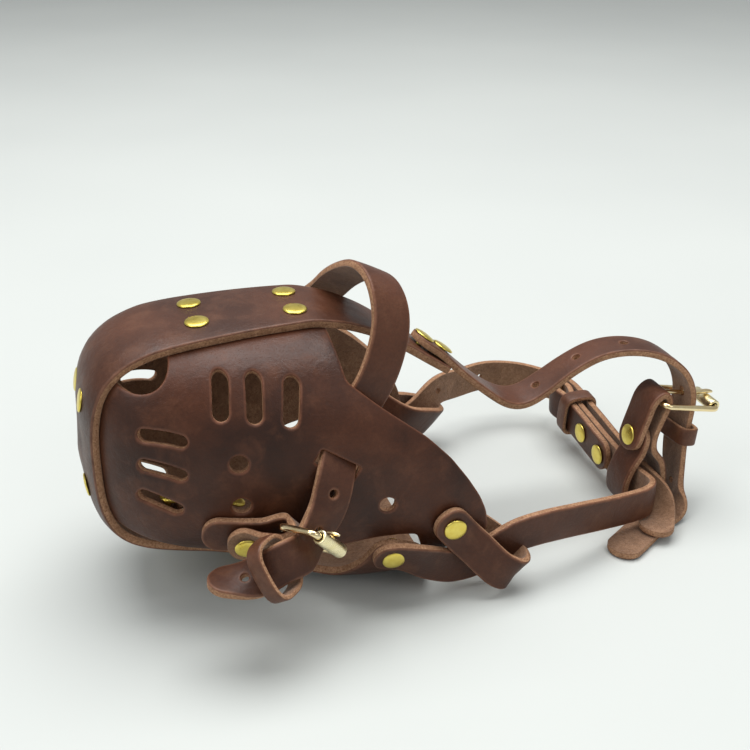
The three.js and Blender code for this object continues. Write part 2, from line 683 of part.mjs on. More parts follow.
// Roller buckle: heel is the middle of the heel bar, along points to the roller bar,
// bar is the direction of both bars; the prong lies on the side of bar x along times lift.
function buckle(label, { heel, along, bar, span }, lift) {
  const u = V(...along).normalize();
  const w = V(...bar).normalize();
  const n = w.clone().cross(u).normalize().multiplyScalar(lift);
  const origin = V(...heel);
  const place = (a, b, c) =>
    origin.clone().addScaledVector(u, a).addScaledVector(w, b).addScaledVector(n, c);
  const half = OPENING / 2 + WIRE;
  const corner = 2.6;
  const rim = [];
  for (const [a, b, turn] of [[0, -half, 180], [span, -half, 270], [span, half, 0], [0, half, 90]]) {
    for (const step of [0, 45, 90]) {
      const t = ((turn + step) * Math.PI) / 180;
      const ca = a + (a ? -corner : corner) + corner * Math.cos(t);
      const cb = b + (b > 0 ? -corner : corner) + corner * Math.sin(t);
      rim.push({ point: place(ca, cb, 0), flat: n });
    }
  }
  addMesh(`${label}_buckle_frame`, geometryOf(sweep(rim, WIRE, 8, true)), "gold");
  const reach = OPENING / 2 - 1.6;
  const tube = [
    [ROLLER_IN, -reach], [ROLLER_OUT, -reach], [ROLLER_OUT, reach], [ROLLER_IN, reach],
    [ROLLER_IN, -reach],
  ].map(([r, h]) => new THREE.Vector2(r, h));
  const roller = geometryOf(outward(indexed(new THREE.LatheGeometry(tube, 14))));
  roller.applyQuaternion(new THREE.Quaternion().setFromUnitVectors(V(0, 1, 0), w));
  const seat = place(span, 0, 0);
  roller.translate(seat.x, seat.y, seat.z);
  addMesh(`${label}_buckle_roller`, roller, "gold");
  const curl = WIRE + PRONG_WIRE + 0.5;
  const wire = [];
  for (let t = -150; t <= 90; t += 30) {
    const angle = (t * Math.PI) / 180;
    wire.push({ point: place(-curl * Math.cos(angle), 0, curl * Math.sin(angle)), flat: w });
  }
  const rest = ROLLER_OUT + PRONG_WIRE + 0.3;
  wire.push({ point: place(span * 0.5, 0, curl + 0.2), flat: w });
  wire.push({ point: place(span - 3, 0, rest - 0.4), flat: w });
  wire.push({ point: place(span + 1.6, 0, rest), flat: w });
  addMesh(`${label}_buckle_prong`, geometryOf(sweep(wire, PRONG_WIRE, 8, false)), "gold");
  const tilt = (a, degrees) => {
    const t = (degrees * Math.PI) / 180;
    return place(a * Math.cos(t), 0, curl + a * Math.sin(t));
  };
  const slot = rod(place(0, -1.8, 0), place(0, 1.8, 0), 5.4, 16);
  const path = [0, 4, 8].map((d) => rod(tilt(2, d), tilt(span - 1, d), 1.7, 10));
  return { slot, path, place };
}

// Keeper: a closed leather ring round a strap; across and through are its clear sizes.
function keeper(name, centre, across, axis, clearAcross, clearThrough, length = 8) {
  const along = V(...axis).normalize();
  const w = V(...across).addScaledVector(along, -V(...across).dot(along)).normalize();
  const n = w.clone().cross(along).normalize();
  const thick = 2;
  const ring = (grow, end) => {
    const [a, b, r] = [clearAcross / 2 + grow, clearThrough / 2 + grow, 1 + grow];
    const outline = [];
    for (const [sa, sb, turn] of [[1, 1, 0], [-1, 1, 90], [-1, -1, 180], [1, -1, 270]]) {
      for (const step of [0, 30, 60, 90]) {
        const t = ((turn + step) * Math.PI) / 180;
        outline.push([sa * (a - r) + r * Math.cos(t), sb * (b - r) + r * Math.sin(t)]);
      }
    }
    return outline.map(([p, q]) =>
      V(...centre).addScaledVector(w, p).addScaledVector(n, q).addScaledVector(along, end));
  };
  const rings = [
    ring(0, -length / 2), ring(thick, -length / 2), ring(thick, length / 2), ring(0, length / 2),
  ];
  addMesh(name, geometryOf(outward(ringsGeometry(rings, true))), "leather");
}

const foreheadBuckle = buckle(
  "forehead",
  { heel: [155.7, -19, 53], along: [26.8, 0, -5.6], bar: [0, 1, 0], span: 27 },
  -1,
);
const neckBuckle = buckle(
  "neck",
  { heel: [144.2, 45.4, 22], along: [4.6, 17, 0], bar: [0, 0, 1], span: 18 },
  -1,
);
const noseBuckle = buckle("nose", BUCKLE3, -1);

keeper("forehead_keeper", [169.3, -20.1, 35], ACROSS_Y, [-0.14, -0.08, -0.98], 17.4, 5.6);
keeper("neck_keeper", [146.6, 31, 20.4], [0, 0, 1], [0, 1, 0.1], 17.4, 13.4, 7);
keeper("nose_keeper", [-28, -72, 41], [0.33, -0.4, -0.85], [0.64, -0.55, 0.53], 19.4, 14.4, 6.5);

// ---------------------------------------------------------------- rivets of the straps

const sideRivet = (name, x, z, side, inner, outer) => {
  const phi = phiAt(x, z);
  rivet(name, basketPoint(x, phi, side), basketNormal(x, phi, side), inner, outer);
};
sideRivet("loop_rivet_near", ...LOOP_RIVET, -1, LOOP_IN - 3.5, LOOP_OUT + 3);
sideRivet("loop_rivet_far", ...LOOP_RIVET, 1, LOOP_IN - 3.5, LOOP_OUT + 3);
sideRivet("cheek_rivet_near", ...CHIN_RIVET, -1, GAP, CHIN_OUT + 2.3);
sideRivet("cheek_rivet_far", ...CHIN_RIVET, 1, GAP, CHIN_OUT + 2.3);
sideRivet("nose_tab_rivet", -33, 41, -1, -LEATHER, 8.6);
sideRivet("nose_strap_rivet", 5, 81, 1, LOOP_IN - LEATHER / 2, 0);
for (const [i, x] of [49.5, 58].entries()) {
  const seat = V(...onTop(x, 0));
  const axis = basketNormal(x, 0, -1).setY(0).normalize();
  rivet(`forehead_rivet_${i + 1}`, seat, axis, GAP, FOREHEAD_OUT + LEATHER / 2);
}
for (const [i, y] of [-2, 15].entries()) {
  rivet(`neck_rivet_${i + 1}`, V(144.3, y, 16.7 + 0.13 * y), V(-1, 0, 0), -3.6, 3.6);
}
rivet("tab_rivet", V(149.1, -20.6, 36), V(-1, 0, 0.16).normalize(), -5.8, 5.8);

// ---------------------------------------------------------------- leather pieces

function largest(solid) {
  return solid.decompose().sort((a, b) => b.volume() - a.volume())[0];
}

const leather = (name, solid) => addMesh(name, geometryOf(largest(punch(solid))), "leather");
const panelClearance = insideOfBand
  .subtract(basketLoft(-LEATHER - GAP))
  .intersect(sidePrism(PANEL_OUTLINE, -80, 80))
  .subtract(sidePrism(slitOutline(SLIT), -80, 80));
const clear = (solid) => solid.subtract(panelClearance);
leather("near_side_panel", sidePanel(-1));
leather("far_side_panel", sidePanel(1));
leather("centre_band", centreBand());
leather("near_side_loop", clear(strap(sideLoop)));
leather("far_side_loop", clear(strap(farLoop)));
const through = (solid, cuts) => cuts.reduce((s, cut) => s.subtract(cut), solid);
const LOOSE = { width: STRAP + 2 * GAP, thick: LEATHER + 2 * GAP };
const nearRoom = strap(sideLoop, LOOSE);
const farRoom = strap(farLoop, LOOSE);
leather("near_neck_strap", through(strap(nearNeck), [neckBuckle.slot, nearRoom]));
leather("far_neck_strap", through(strap(farNeck), [...neckBuckle.path, farRoom]));
leather("forehead_strap", through(strap(forehead), foreheadBuckle.path));
leather("forehead_tab", through(strap(foreheadTab), [foreheadBuckle.slot]));
leather("nose_strap", clear(through(strap(noseStrap), noseBuckle.path)));
leather("nose_tab", clear(through(strap(noseTab), [noseBuckle.slot])));

export default root;
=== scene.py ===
import math

import bmesh
import bpy
import numpy as np
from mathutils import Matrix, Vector
from mathutils.geometry import delaunay_2d_cdt


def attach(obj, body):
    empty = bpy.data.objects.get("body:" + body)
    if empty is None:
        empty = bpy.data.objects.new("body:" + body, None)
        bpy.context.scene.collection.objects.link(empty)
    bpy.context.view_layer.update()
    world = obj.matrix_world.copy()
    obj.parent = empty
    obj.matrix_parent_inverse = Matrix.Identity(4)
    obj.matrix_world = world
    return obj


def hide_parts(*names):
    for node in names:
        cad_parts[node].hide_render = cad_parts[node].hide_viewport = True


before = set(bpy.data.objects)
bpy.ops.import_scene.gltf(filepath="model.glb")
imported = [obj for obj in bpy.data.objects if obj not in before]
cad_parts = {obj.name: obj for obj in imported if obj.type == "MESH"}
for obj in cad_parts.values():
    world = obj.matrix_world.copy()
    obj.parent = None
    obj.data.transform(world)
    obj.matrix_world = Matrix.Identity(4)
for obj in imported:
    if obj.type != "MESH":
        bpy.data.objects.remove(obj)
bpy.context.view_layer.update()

# Lengths are millimetres in the frame of the shape tables; SHIFT and MM turn them into the row frame.
MM = 0.001
SHIFT = np.array([-24.0, 0.0, 0.0])
LEATHER = 3.0
GAP = 0.4
STRAP = 15.0
KEEPER_LEATHER = 2.0
EDGE_ROUND = 0.6
CROWN = 0.25
HOLE = 3.2
PANEL_MESH, STRAP_MESH = 2.2, 1.9


def unit(v):
    v = np.asarray(v, float)
    return v / np.maximum(np.linalg.norm(v, axis=-1, keepdims=True), 1e-12)


def lengths(line):
    """Length along a line at each of its points."""
    return np.concatenate([[0], np.cumsum(np.linalg.norm(np.diff(line, axis=0), axis=1))])


def add_object(name, data):
    thing = bpy.data.objects.new(name, data)
    bpy.context.scene.collection.objects.link(thing)
    return thing


# ---------------- moulded basket surface


class Monotone:
    """Smooth curve through a table that never overshoots its rows."""

    def __init__(self, rows):
        self.x, self.y = np.array(rows, float).T
        slope = np.diff(self.y) / np.diff(self.x)
        a, b = slope[:-1], slope[1:]
        both = np.where(a * b > 0, a + b, 1.0)
        inner = np.where(a * b > 0, 2 * a * b / both, 0.0)
        self.m = np.concatenate([slope[:1], inner, slope[-1:]])

    def __call__(self, at):
        at = np.clip(np.asarray(at, float), self.x[0], self.x[-1])
        i = np.clip(np.searchsorted(self.x, at, side="right") - 1, 0, len(self.x) - 2)
        h = self.x[i + 1] - self.x[i]
        t = (at - self.x[i]) / h
        t2, t3 = t * t, t * t * t
        return (
            (2 * t3 - 3 * t2 + 1) * self.y[i]
            + (t3 - 2 * t2 + t) * h * self.m[i]
            + (3 * t2 - 2 * t3) * self.y[i + 1]
            + (t3 - t2) * h * self.m[i + 1]
        )


NOSE_X = -85.3
BASKET_MIDDLE = np.array([-30.0, 0.0, 55.0])
TOP_ROWS = [
    (-84, 72), (-83, 84), (-80, 94), (-74, 101), (-66, 105), (-55, 107.6), (-40, 108.4),
    (-20, 108.8), (0, 108.4), (11, 106), (25, 100), (40, 90), (55, 78.5), (72, 66),
]
BOTTOM_ROWS = [
    (-84, 49), (-83, 42), (-80, 34.5), (-74, 28.5), (-66, 25), (-55, 22), (-40, 18.5),
    (-20, 12), (-5, 6), (6, 2.9), (42, 2.9), (72, 5),
]
WIDTH_ROWS = [
    (-84, 9), (-83, 16), (-80, 25), (-74, 33), (-66, 39), (-55, 43.5), (-40, 47.5),
    (-20, 50), (0, 52), (20, 53.5), (45, 54.5), (72, 55),
]
top_z = Monotone([(NOSE_X, 60.8)] + TOP_ROWS)
bottom_z = Monotone([(NOSE_X, 60)] + BOTTOM_ROWS)
half_width = Monotone([(NOSE_X, 0.4)] + WIDTH_ROWS)
round_chin = Monotone([(-84, 0.62), (-20, 0.62), (0, 0.54), (20, 0.46), (72, 0.46)])
ROUND_TOP = 0.62
ROUND_Z = 0.86


def middle_z(x):
    return (top_z(x) + bottom_z(x)) / 2 - 4 * np.clip((np.asarray(x, float) - NOSE_X) / 1.3, 0, 1)


def basket_point(x, phi, side):
    """phi runs from 0 on the top line to pi on the chin line."""
    x, phi = np.broadcast_arrays(np.asarray(x, float), np.asarray(phi, float))
    c, s, middle = np.cos(phi), np.abs(np.sin(phi)), middle_z(x)
    reach = np.where(c > 0, top_z(x) - middle, bottom_z(x) - middle)
    y = side * half_width(x) * s ** np.where(c > 0, ROUND_TOP, round_chin(x))
    return np.stack([x, y, middle + reach * np.abs(c) ** ROUND_Z], -1)


def basket_normal(x, phi, side):
    safe = np.clip(phi, 0.03, math.pi - 0.03)
    ahead = basket_point(np.asarray(x) + 0.3, safe, side) - basket_point(np.asarray(x) - 0.3, safe, side)
    round_it = basket_point(x, safe + 0.02, side) - basket_point(x, safe - 0.02, side)
    normal = unit(np.cross(ahead, round_it))
    out = basket_point(x, phi, side) - BASKET_MIDDLE
    return normal * np.where((normal * out).sum(-1, keepdims=True) < 0, -1.0, 1.0)


def phi_at(x, z):
    middle = middle_z(x)
    up = z > middle
    share = np.where(up, (z - middle) / (top_z(x) - middle), (middle - z) / (middle - bottom_z(x)))
    angle = np.arccos(np.clip(share, 0, 1) ** (1 / ROUND_Z))
    return np.where(up, angle, math.pi - angle)


def phi_of_y(x, y, chin=False):
    share = np.clip(np.abs(y) / half_width(x), 0, 1)
    angle = np.arcsin(share ** (1 / (round_chin(x) if chin else ROUND_TOP)))
    return math.pi - angle if chin else angle


def on_basket(x, phi, side, offset):
    return basket_point(x, phi, side) + offset * basket_normal(x, phi, side)


def on_side(x, z, side, offset):
    return on_basket(float(x), float(phi_at(x, z)), side, offset)


def on_top(x, offset):
    point = on_basket(float(x), 0.0, -1, offset)
    point[1] = 0
    return point


# ---------------- flat leather patterns


def resample(loop, step):
    """A closed outline with its points evenly spaced along it."""
    loop = np.asarray(loop, float)
    closed = np.vstack([loop, loop[:1]])
    length = lengths(closed)
    count = max(8, int(round(length[-1] / step)))
    at = np.linspace(0, length[-1], count, endpoint=False)
    return np.stack([np.interp(at, length, closed[:, k]) for k in range(2)], 1)


def eased(loop, rounds):
    """A closed line with its corners rounded off."""
    for _ in range(rounds):
        loop = loop * 0.5 + (np.roll(loop, 1, 0) + np.roll(loop, -1, 0)) * 0.25
    return loop


def stadium(a, b, width):
    """Outline of a slot with round ends centred on a and b."""
    a, b = np.asarray(a, float), np.asarray(b, float)
    turn = math.atan2(b[1] - a[1], b[0] - a[0])
    t = np.linspace(0, math.pi, 14)
    r = width / 2
    first = b + r * np.stack([np.cos(turn - math.pi / 2 + t), np.sin(turn - math.pi / 2 + t)], 1)
    second = a + r * np.stack([np.cos(turn + math.pi / 2 + t), np.sin(turn + math.pi / 2 + t)], 1)
    return np.vstack([first, second])


def disc(at, radius, steps=40):
    t = np.linspace(0, 2 * math.pi, steps, endpoint=False)
    return np.asarray(at, float) + radius * np.stack([np.cos(t), np.sin(t)], 1)


def inside(points, loop):
    """Which points lie inside a closed outline."""
    x, y = points[:, 0][:, None], points[:, 1][:, None]
    x0, y0 = loop[:, 0], loop[:, 1]
    x1, y1 = np.roll(x0, -1), np.roll(y0, -1)
    flat = np.where(np.abs(y1 - y0) < 1e-12, 1e-12, y1 - y0)
    crossing = ((y0 > y) != (y1 > y)) & (x < (x1 - x0) * (y - y0) / flat + x0)
    return crossing.sum(1) % 2 == 1


def in_pattern(points, loops):
    """Which points lie inside the first outline and in none of its holes."""
    ok = inside(points, loops[0])
    for loop in loops[1:]:
        ok &= ~inside(points, loop)
    return ok


def edge_distance(points, loops):
    """Distance of each point from the nearest outline."""
    best = np.full(len(points), 1e9)
    for loop in loops:
        a, b = loop, np.roll(loop, -1, 0)
        along = b - a
        size = np.maximum((along * along).sum(1), 1e-12)
        for start in range(0, len(points), 4000):
            p = points[start : start + 4000, None, :]
            t = np.clip(((p - a) * along).sum(2) / size, 0, 1)
            d = np.linalg.norm(p - (a + t[..., None] * along), axis=2).min(1)
            best[start : start + 4000] = np.minimum(best[start : start + 4000], d)
    return best


INSETS = (0.12, 0.38, 0.85, 1.6)


def triangulate(outline, holes, spacing, edge_step=0.8):
    """Points, triangles and distance from the nearest cut edge of a flat pattern."""
    loops = [resample(outline, edge_step)] + [resample(h, min(edge_step, 0.6)) for h in holes]
    points, edges = [], []
    for loop in loops:
        start = len(points)
        points += [tuple(p) for p in loop]
        edges += [(start + i, start + (i + 1) % len(loop)) for i in range(len(loop))]
    extra = []
    for loop in loops:
        along = unit(np.roll(loop, -1, 0) - np.roll(loop, 1, 0))
        left = np.stack([-along[:, 1], along[:, 0]], 1)
        for d in INSETS:
            for sign in (1, -1):
                extra.append((loop + sign * d * left, d))
    kept = []
    for candidates, d in extra:
        good = edge_distance(candidates, loops) > 0.93 * d
        kept.append(candidates[good])
    low, high = loops[0].min(0), loops[0].max(0)
    xs = np.arange(low[0], high[0], spacing)
    ys = np.arange(low[1], high[1], spacing)
    if len(ys) < 8:
        ys = np.linspace(low[1], high[1], 9)[1:-1]
    grid = np.stack(np.meshgrid(xs, ys, indexing="ij"), -1).reshape(-1, 2)
    kept.append(grid[edge_distance(grid, loops) > INSETS[-1] + 0.45 * spacing])
    kept = np.vstack(kept)
    points += [tuple(p) for p in kept[in_pattern(kept, loops)]]
    made = delaunay_2d_cdt([Vector(p) for p in points], edges, [], 0, 1e-5, False)
    flat = np.array([tuple(v) for v in made[0]], float)
    faces = np.array([f for f in made[2] if len(f) == 3], int)
    faces = faces[in_pattern(flat[faces].mean(1), loops)]
    a, b, c = (flat[faces[:, k]] for k in range(3))
    area = (b[:, 0] - a[:, 0]) * (c[:, 1] - a[:, 1]) - (b[:, 1] - a[:, 1]) * (c[:, 0] - a[:, 0])
    faces = np.where(area[:, None] < 0, faces[:, ::-1], faces)[np.abs(area) > 1e-7]
    used = np.unique(faces)
    index = np.full(len(flat), -1)
    index[used] = np.arange(len(used))
    flat, faces = flat[used], index[faces]
    return flat, faces, edge_distance(flat, loops)


def rounded(d, thick, radius):
    """Height of the leather's face above its middle, at the distance d from its cut edge."""
    short = np.clip(radius - d, 0, radius)
    return thick / 2 - radius + np.sqrt(np.maximum(radius**2 - short**2, 0))


def sheet_mesh(name, flat, faces, d, place, thick=LEATHER, flip=False, ridge=0.0):
    """A leather sheet from its pattern: place(points, heights) gives the 3-D points in millimetres.
    Faces take material 0 on the grain side, 1 on cut edges and 2 on the flesh side."""
    lift = rounded(d, thick, EDGE_ROUND) + ridge * np.exp(-(((d - 1.5) / 0.7) ** 2))
    outer = place(flat, lift)
    inner = place(flat, -rounded(d, thick, 0.45 * EDGE_ROUND))
    n = len(flat)
    points = np.vstack([outer, inner])
    directed = dict.fromkeys(e for a, b, c in faces for e in ((a, b), (b, c), (c, a)))
    rim = [(a, b) for a, b in directed if (b, a) not in directed]
    polys = [tuple(f) for f in faces] + [tuple(n + f[::-1]) for f in faces]
    slots = [0] * len(faces) + [2] * len(faces)
    for a, b in rim:
        polys.append((b, a, n + a, n + b))
        slots.append(1)
    if flip:
        polys = [p[::-1] for p in polys]
    return finish_mesh(name, points, polys, slots, np.concatenate([d, d]))


def ring_faces(rings, sides, closed):
    """Faces of a surface made of rings of points, each ring with the same number of sides."""
    polys = []
    for i in range(rings if closed else rings - 1):
        k = (i + 1) % rings
        for j in range(sides):
            m = (j + 1) % sides
            polys.append((i * sides + j, i * sides + m, k * sides + m, k * sides + j))
    return polys


def finish_mesh(name, points, polys, slots, wear=None, smooth_angle=48):
    mesh = bpy.data.meshes.new(name)
    mesh.from_pydata(((points + SHIFT) * MM).tolist(), [], [tuple(int(i) for i in p) for p in polys])
    mesh.polygons.foreach_set("material_index", np.array(slots, np.int32))
    if wear is not None:
        layer = mesh.attributes.new("edge_mm", "FLOAT", "POINT")
        layer.data.foreach_set("value", np.minimum(wear, 50).astype(np.float32))
    mesh.update()
    volume = bmesh.new()
    volume.from_mesh(mesh)
    bmesh.ops.recalc_face_normals(volume, faces=volume.faces)
    if volume.calc_volume(signed=True) < 0:
        bmesh.ops.reverse_faces(volume, faces=volume.faces)
    volume.to_mesh(mesh)
    volume.free()
    mesh.shade_smooth()
    mesh.set_sharp_from_angle(angle=math.radians(smooth_angle))
    return add_object(name, mesh)


# ---------------- side panels

PANEL_OUTLINE = [
    (-100, 130), (9, 130), (7.5, 104.6), (8.7, 94.7), (20.6, 84.5), (37.6, 70.9), (47, 61),
    (53.6, 51.5), (58.5, 43), (61.3, 35.7), (62.3, 28), (60, 21.5), (53, 18.2), (40, 18.6),
    (36, 20), (33, 29.4), (26, 30.4), (17, 30.6), (5, 29), (-6, 26), (-14, 20), (-14, -10), (-46, -10),
    (-54, 27), (-82, 41), (-100, 41),
]
SLOTS = [
    ((-37.1, 99.6), (-38.7, 90), 6), ((-25.4, 98.4), (-26.8, 88), 6),
    ((-11.9, 96), (-14.1, 85.2), 6), ((-65.8, 82.6), (-53.9, 80.8), 5),
    ((-66.8, 71.2), (-55.2, 67.8), 5), ((-68.2, 58.4), (-57.6, 53.2), 5),
]
HOLES = [((-34.3, 71), 7), ((-34.4, 53.3), 7), ((20.6, 46), 6.4)]
NOTCH = ((-66, 109), 13)
SLIT = ((-5.4, 70.8), (8.8, 61.5), 6)
PANEL_FRONT = -84.0
PANEL_INNER_Y = 2.5

# Unrolled coordinates of a side panel: u along the object, v round it from the top line.
stations = np.concatenate([np.linspace(PANEL_FRONT, -70, 60), np.linspace(-69.5, 72, 120)])
sides = np.stack([stations, half_width(stations)], 1)
u_of_station = lengths(sides)
phis = math.pi * np.linspace(0, 1, 500)
phis[1:4] = [1e-4, 1e-3, 3e-3]
sections = basket_point(stations[:, None], phis[None, :], 1)
steps_round = np.linalg.norm(np.diff(sections, axis=1), axis=2)
v_table = np.concatenate([np.zeros((len(stations), 1)), np.cumsum(steps_round, axis=1)], axis=1)
girth = v_table[:, -1]
share_grid = np.linspace(0, 1, 700)
phi_table = np.stack([np.interp(share_grid * g, row, phis) for g, row in zip(girth, v_table)])


def unrolled(x, z):
    """u, v of side-view points; points above or below the basket go to its centre cut."""
    x = np.clip(x, PANEL_FRONT, 72)
    lowest, highest = phi_of_y(x, PANEL_INNER_Y), phi_of_y(x, PANEL_INNER_Y, True)
    phi = np.clip(phi_at(x, z), lowest, highest)
    i = np.clip(np.searchsorted(stations, x) - 1, 0, len(stations) - 2)
    t = (x - stations[i]) / (stations[i + 1] - stations[i])
    v = np.array([
        (1 - tt) * np.interp(p, phis, v_table[k]) + tt * np.interp(p, phis, v_table[k + 1])
        for k, tt, p in zip(i, t, phi)
    ])
    return np.stack([np.interp(x, stations, u_of_station), v], 1)


def rolled(points):
    """x, phi of unrolled points."""
    x = np.interp(points[:, 0], u_of_station, stations)
    share = points[:, 1] / np.interp(x, stations, girth)
    i = np.clip(np.searchsorted(stations, x) - 1, 0, len(stations) - 2)
    t = (x - stations[i]) / (stations[i + 1] - stations[i])
    s = np.clip(share, 0, 1) * (len(share_grid) - 1)
    j = np.clip(s.astype(int), 0, len(share_grid) - 2)
    f = s - j
    row = lambda k: phi_table[k, j] * (1 - f) + phi_table[k, j + 1] * f
    return x, row(i) * (1 - t) + row(i + 1) * t


def dense(loop, step=0.05):
    """Closed outline with many points on each straight part."""
    out = []
    loop = np.asarray(loop, float)
    for a, b in zip(loop, np.roll(loop, -1, 0)):
        n = max(2, int(np.linalg.norm(b - a) / step))
        out.append(a + (b - a) * np.linspace(0, 1, n, endpoint=False)[:, None])
    return np.vstack(out)


def panel_pattern():
    outline = dense(PANEL_OUTLINE)
    high = top_z(outline[:, 0])
    outline[:, 1] = np.minimum(outline[:, 1], high)
    # The round notch at the top of the nose runs down from the top edge.
    top_edge = outline[:, 1] >= high - 1e-6
    x, z = outline[:, 0], outline[:, 1]
    (cx, cz), r = NOTCH
    in_notch = top_edge & (np.abs(x - cx) < r)
    dip = cz - np.sqrt(np.maximum(r * r - (x - cx) ** 2, 0))
    z[in_notch] = np.minimum(z[in_notch], dip[in_notch])
    outline = unrolled(x, z)
    outline = eased(resample(outline, 0.7), 6)
    a, b, w = SLIT
    turn = math.atan2(b[1] - a[1], b[0] - a[0])
    side = np.array([-math.sin(turn), math.cos(turn)]) * w / 2
    slit = [np.array(a) - side, np.array(b) - side, np.array(b) + side, np.array(a) + side]
    holes = [stadium(p, q, w) for p, q, w in SLOTS] + [disc(c, d / 2) for c, d in HOLES]
    holes = [unrolled(h[:, 0], h[:, 1]) for h in holes]
    slit = dense(slit, 0.3)
    holes.append(eased(resample(unrolled(slit[:, 0], slit[:, 1]), 0.4), 3))
    return triangulate(outline, holes, PANEL_MESH)


def side_panel(name, side, pattern):
    flat, faces, d = pattern
    x, phi = rolled(flat)
    base = basket_point(x, phi, side)
    normal = basket_normal(x, phi, side)

    def place(_, height):
        return base + normal * (height - LEATHER / 2)[:, None]

    return sheet_mesh(name, flat, faces, d, place, flip=side > 0, ridge=0.12)


# ---------------- centre band

BAND_TOP = Monotone([(-110, 22), (-60, 22), (-20, 20), (10, 17.5), (40, 12.5), (62, 8.5)])
BAND_CHIN = Monotone([
    (-110, 22), (-50, 22), (-30, 23.5), (-15, 29), (0, 38), (10, 46.5), (17, 51.4), (25, 52), (33, 51.8),
    (39, 49.5), (43, 41),
])
BAND_LEATHER = LEATHER + 0.4
BAND_TAIL_X = 62.0
BAND_TONGUE_X = 43.0
BAND_HALF_LIMIT = 54.5
TURN_X, TURN_Z = -50.0, 60.0
ARC = 60.0


def band_ray(q):
    """Start and direction, in the centre plane, of the ray that meets the band at q.
    q runs from the tail over the top to the nose (negative x) and back along the chin."""
    top = BAND_TAIL_X - TURN_X
    on_top_part = q < top
    on_chin = q > top + ARC
    angle = math.pi / 2 + math.pi * np.clip((q - top) / ARC, 0, 1)
    start = np.where(on_top_part, BAND_TAIL_X - q, np.where(on_chin, TURN_X + (q - top - ARC), TURN_X))
    return start, np.cos(angle), np.sin(angle)


def band_surface(q, y):
    """Where the ray of q, moved sideways to y, leaves the basket."""
    start, dx, dz = band_ray(q)
    origin_z = np.where(start > TURN_X + 1e-9, middle_z(start), TURN_Z)
    origin_z = np.where(start > 30, np.minimum(origin_z, 50), origin_z)
    low = np.zeros_like(q)
    high = np.full_like(q, 75.0)
    for _ in range(42):
        mid = (low + high) / 2
        x, z = start + dx * mid, origin_z + dz * mid
        phi = phi_at(x, z)
        hold = half_width(x) * np.abs(np.sin(phi)) ** np.where(z > middle_z(x), ROUND_TOP, round_chin(x))
        good = (x > NOSE_X) & (z < top_z(x)) & (z > bottom_z(x)) & (np.abs(y) < np.maximum(hold, 0.5))
        low, high = np.where(good, mid, low), np.where(good, high, mid)
    return np.stack([start + dx * low, y, origin_z + dz * low], -1)


def centre_band(name):
    end = BAND_TAIL_X - TURN_X + ARC + BAND_TONGUE_X - TURN_X
    q = np.linspace(0, end, 900)
    line = band_surface(q, np.zeros_like(q))
    s = lengths(line)
    chin = q > BAND_TAIL_X - TURN_X + ARC / 2
    half = np.where(chin, BAND_CHIN(line[:, 0]), BAND_TOP(line[:, 0]))
    near = np.stack([s, -half], 1)
    outline = np.vstack([near, np.stack([s, half], 1)[::-1]])
    tail_gap = np.linspace(half[0], -half[0], 20)[1:-1]
    outline = np.vstack([outline, np.stack([np.zeros(18), tail_gap], 1)])
    outline = eased(resample(outline, 0.8), 5)
    flat, faces, d = triangulate(outline, [], PANEL_MESH)
    at = np.interp(flat[:, 0], s, q)
    y = flat[:, 1]
    base = band_surface(at, y)
    eps = 0.6
    along = band_surface(np.clip(at + eps, 0, end), y) - band_surface(np.clip(at - eps, 0, end), y)
    limit = lambda w: np.clip(w, -BAND_HALF_LIMIT, BAND_HALF_LIMIT)
    across = band_surface(at, limit(y + eps)) - band_surface(at, limit(y - eps))
    normal = unit(np.cross(across, along))
    out = base - BASKET_MIDDLE
    normal *= np.where((normal * out).sum(1, keepdims=True) < 0, -1.0, 1.0)

    def place(_, height):
        p = base + normal * (height + GAP + LEATHER / 2 - 0.1)[:, None]
        p[:, 2] = np.maximum(p[:, 2], np.where(height > 0, 0.0, 1.2))
        return p

    return sheet_mesh(name, flat, faces, d, place, thick=BAND_LEATHER)


# ---------------- straps

# A path is a list of points with the strap's width direction at each; on_side and on_top keep a
# strap on the basket, at an offset from its outer face.
LOOP_RIVET = (47, 32.5)
LOOP_OUT = LEATHER / 2 + GAP
LOOP_IN = -LEATHER * 1.5 - GAP
LOOP_ACROSS = (0.68, 0, 0.73)
CHIN_OUT = 2 * GAP + LEATHER * 1.5 + 0.5
CHIN_RIVET = (22.3, 25.5)
FOREHEAD_OUT = 2 * GAP + LEATHER * 1.5 + 0.5
ACROSS_Y = (0, 1, 0)
UP = (0, 0, 1)
SLANT = (0.84, 0, -0.55)


def held(across, points):
    """Path points that all keep one width direction."""
    return [(p, across) for p in points]


def mirrored(points):
    turn = np.array([1, -1, 1])
    return [(np.asarray(p) * turn, np.asarray(w) * turn) for p, w in points]


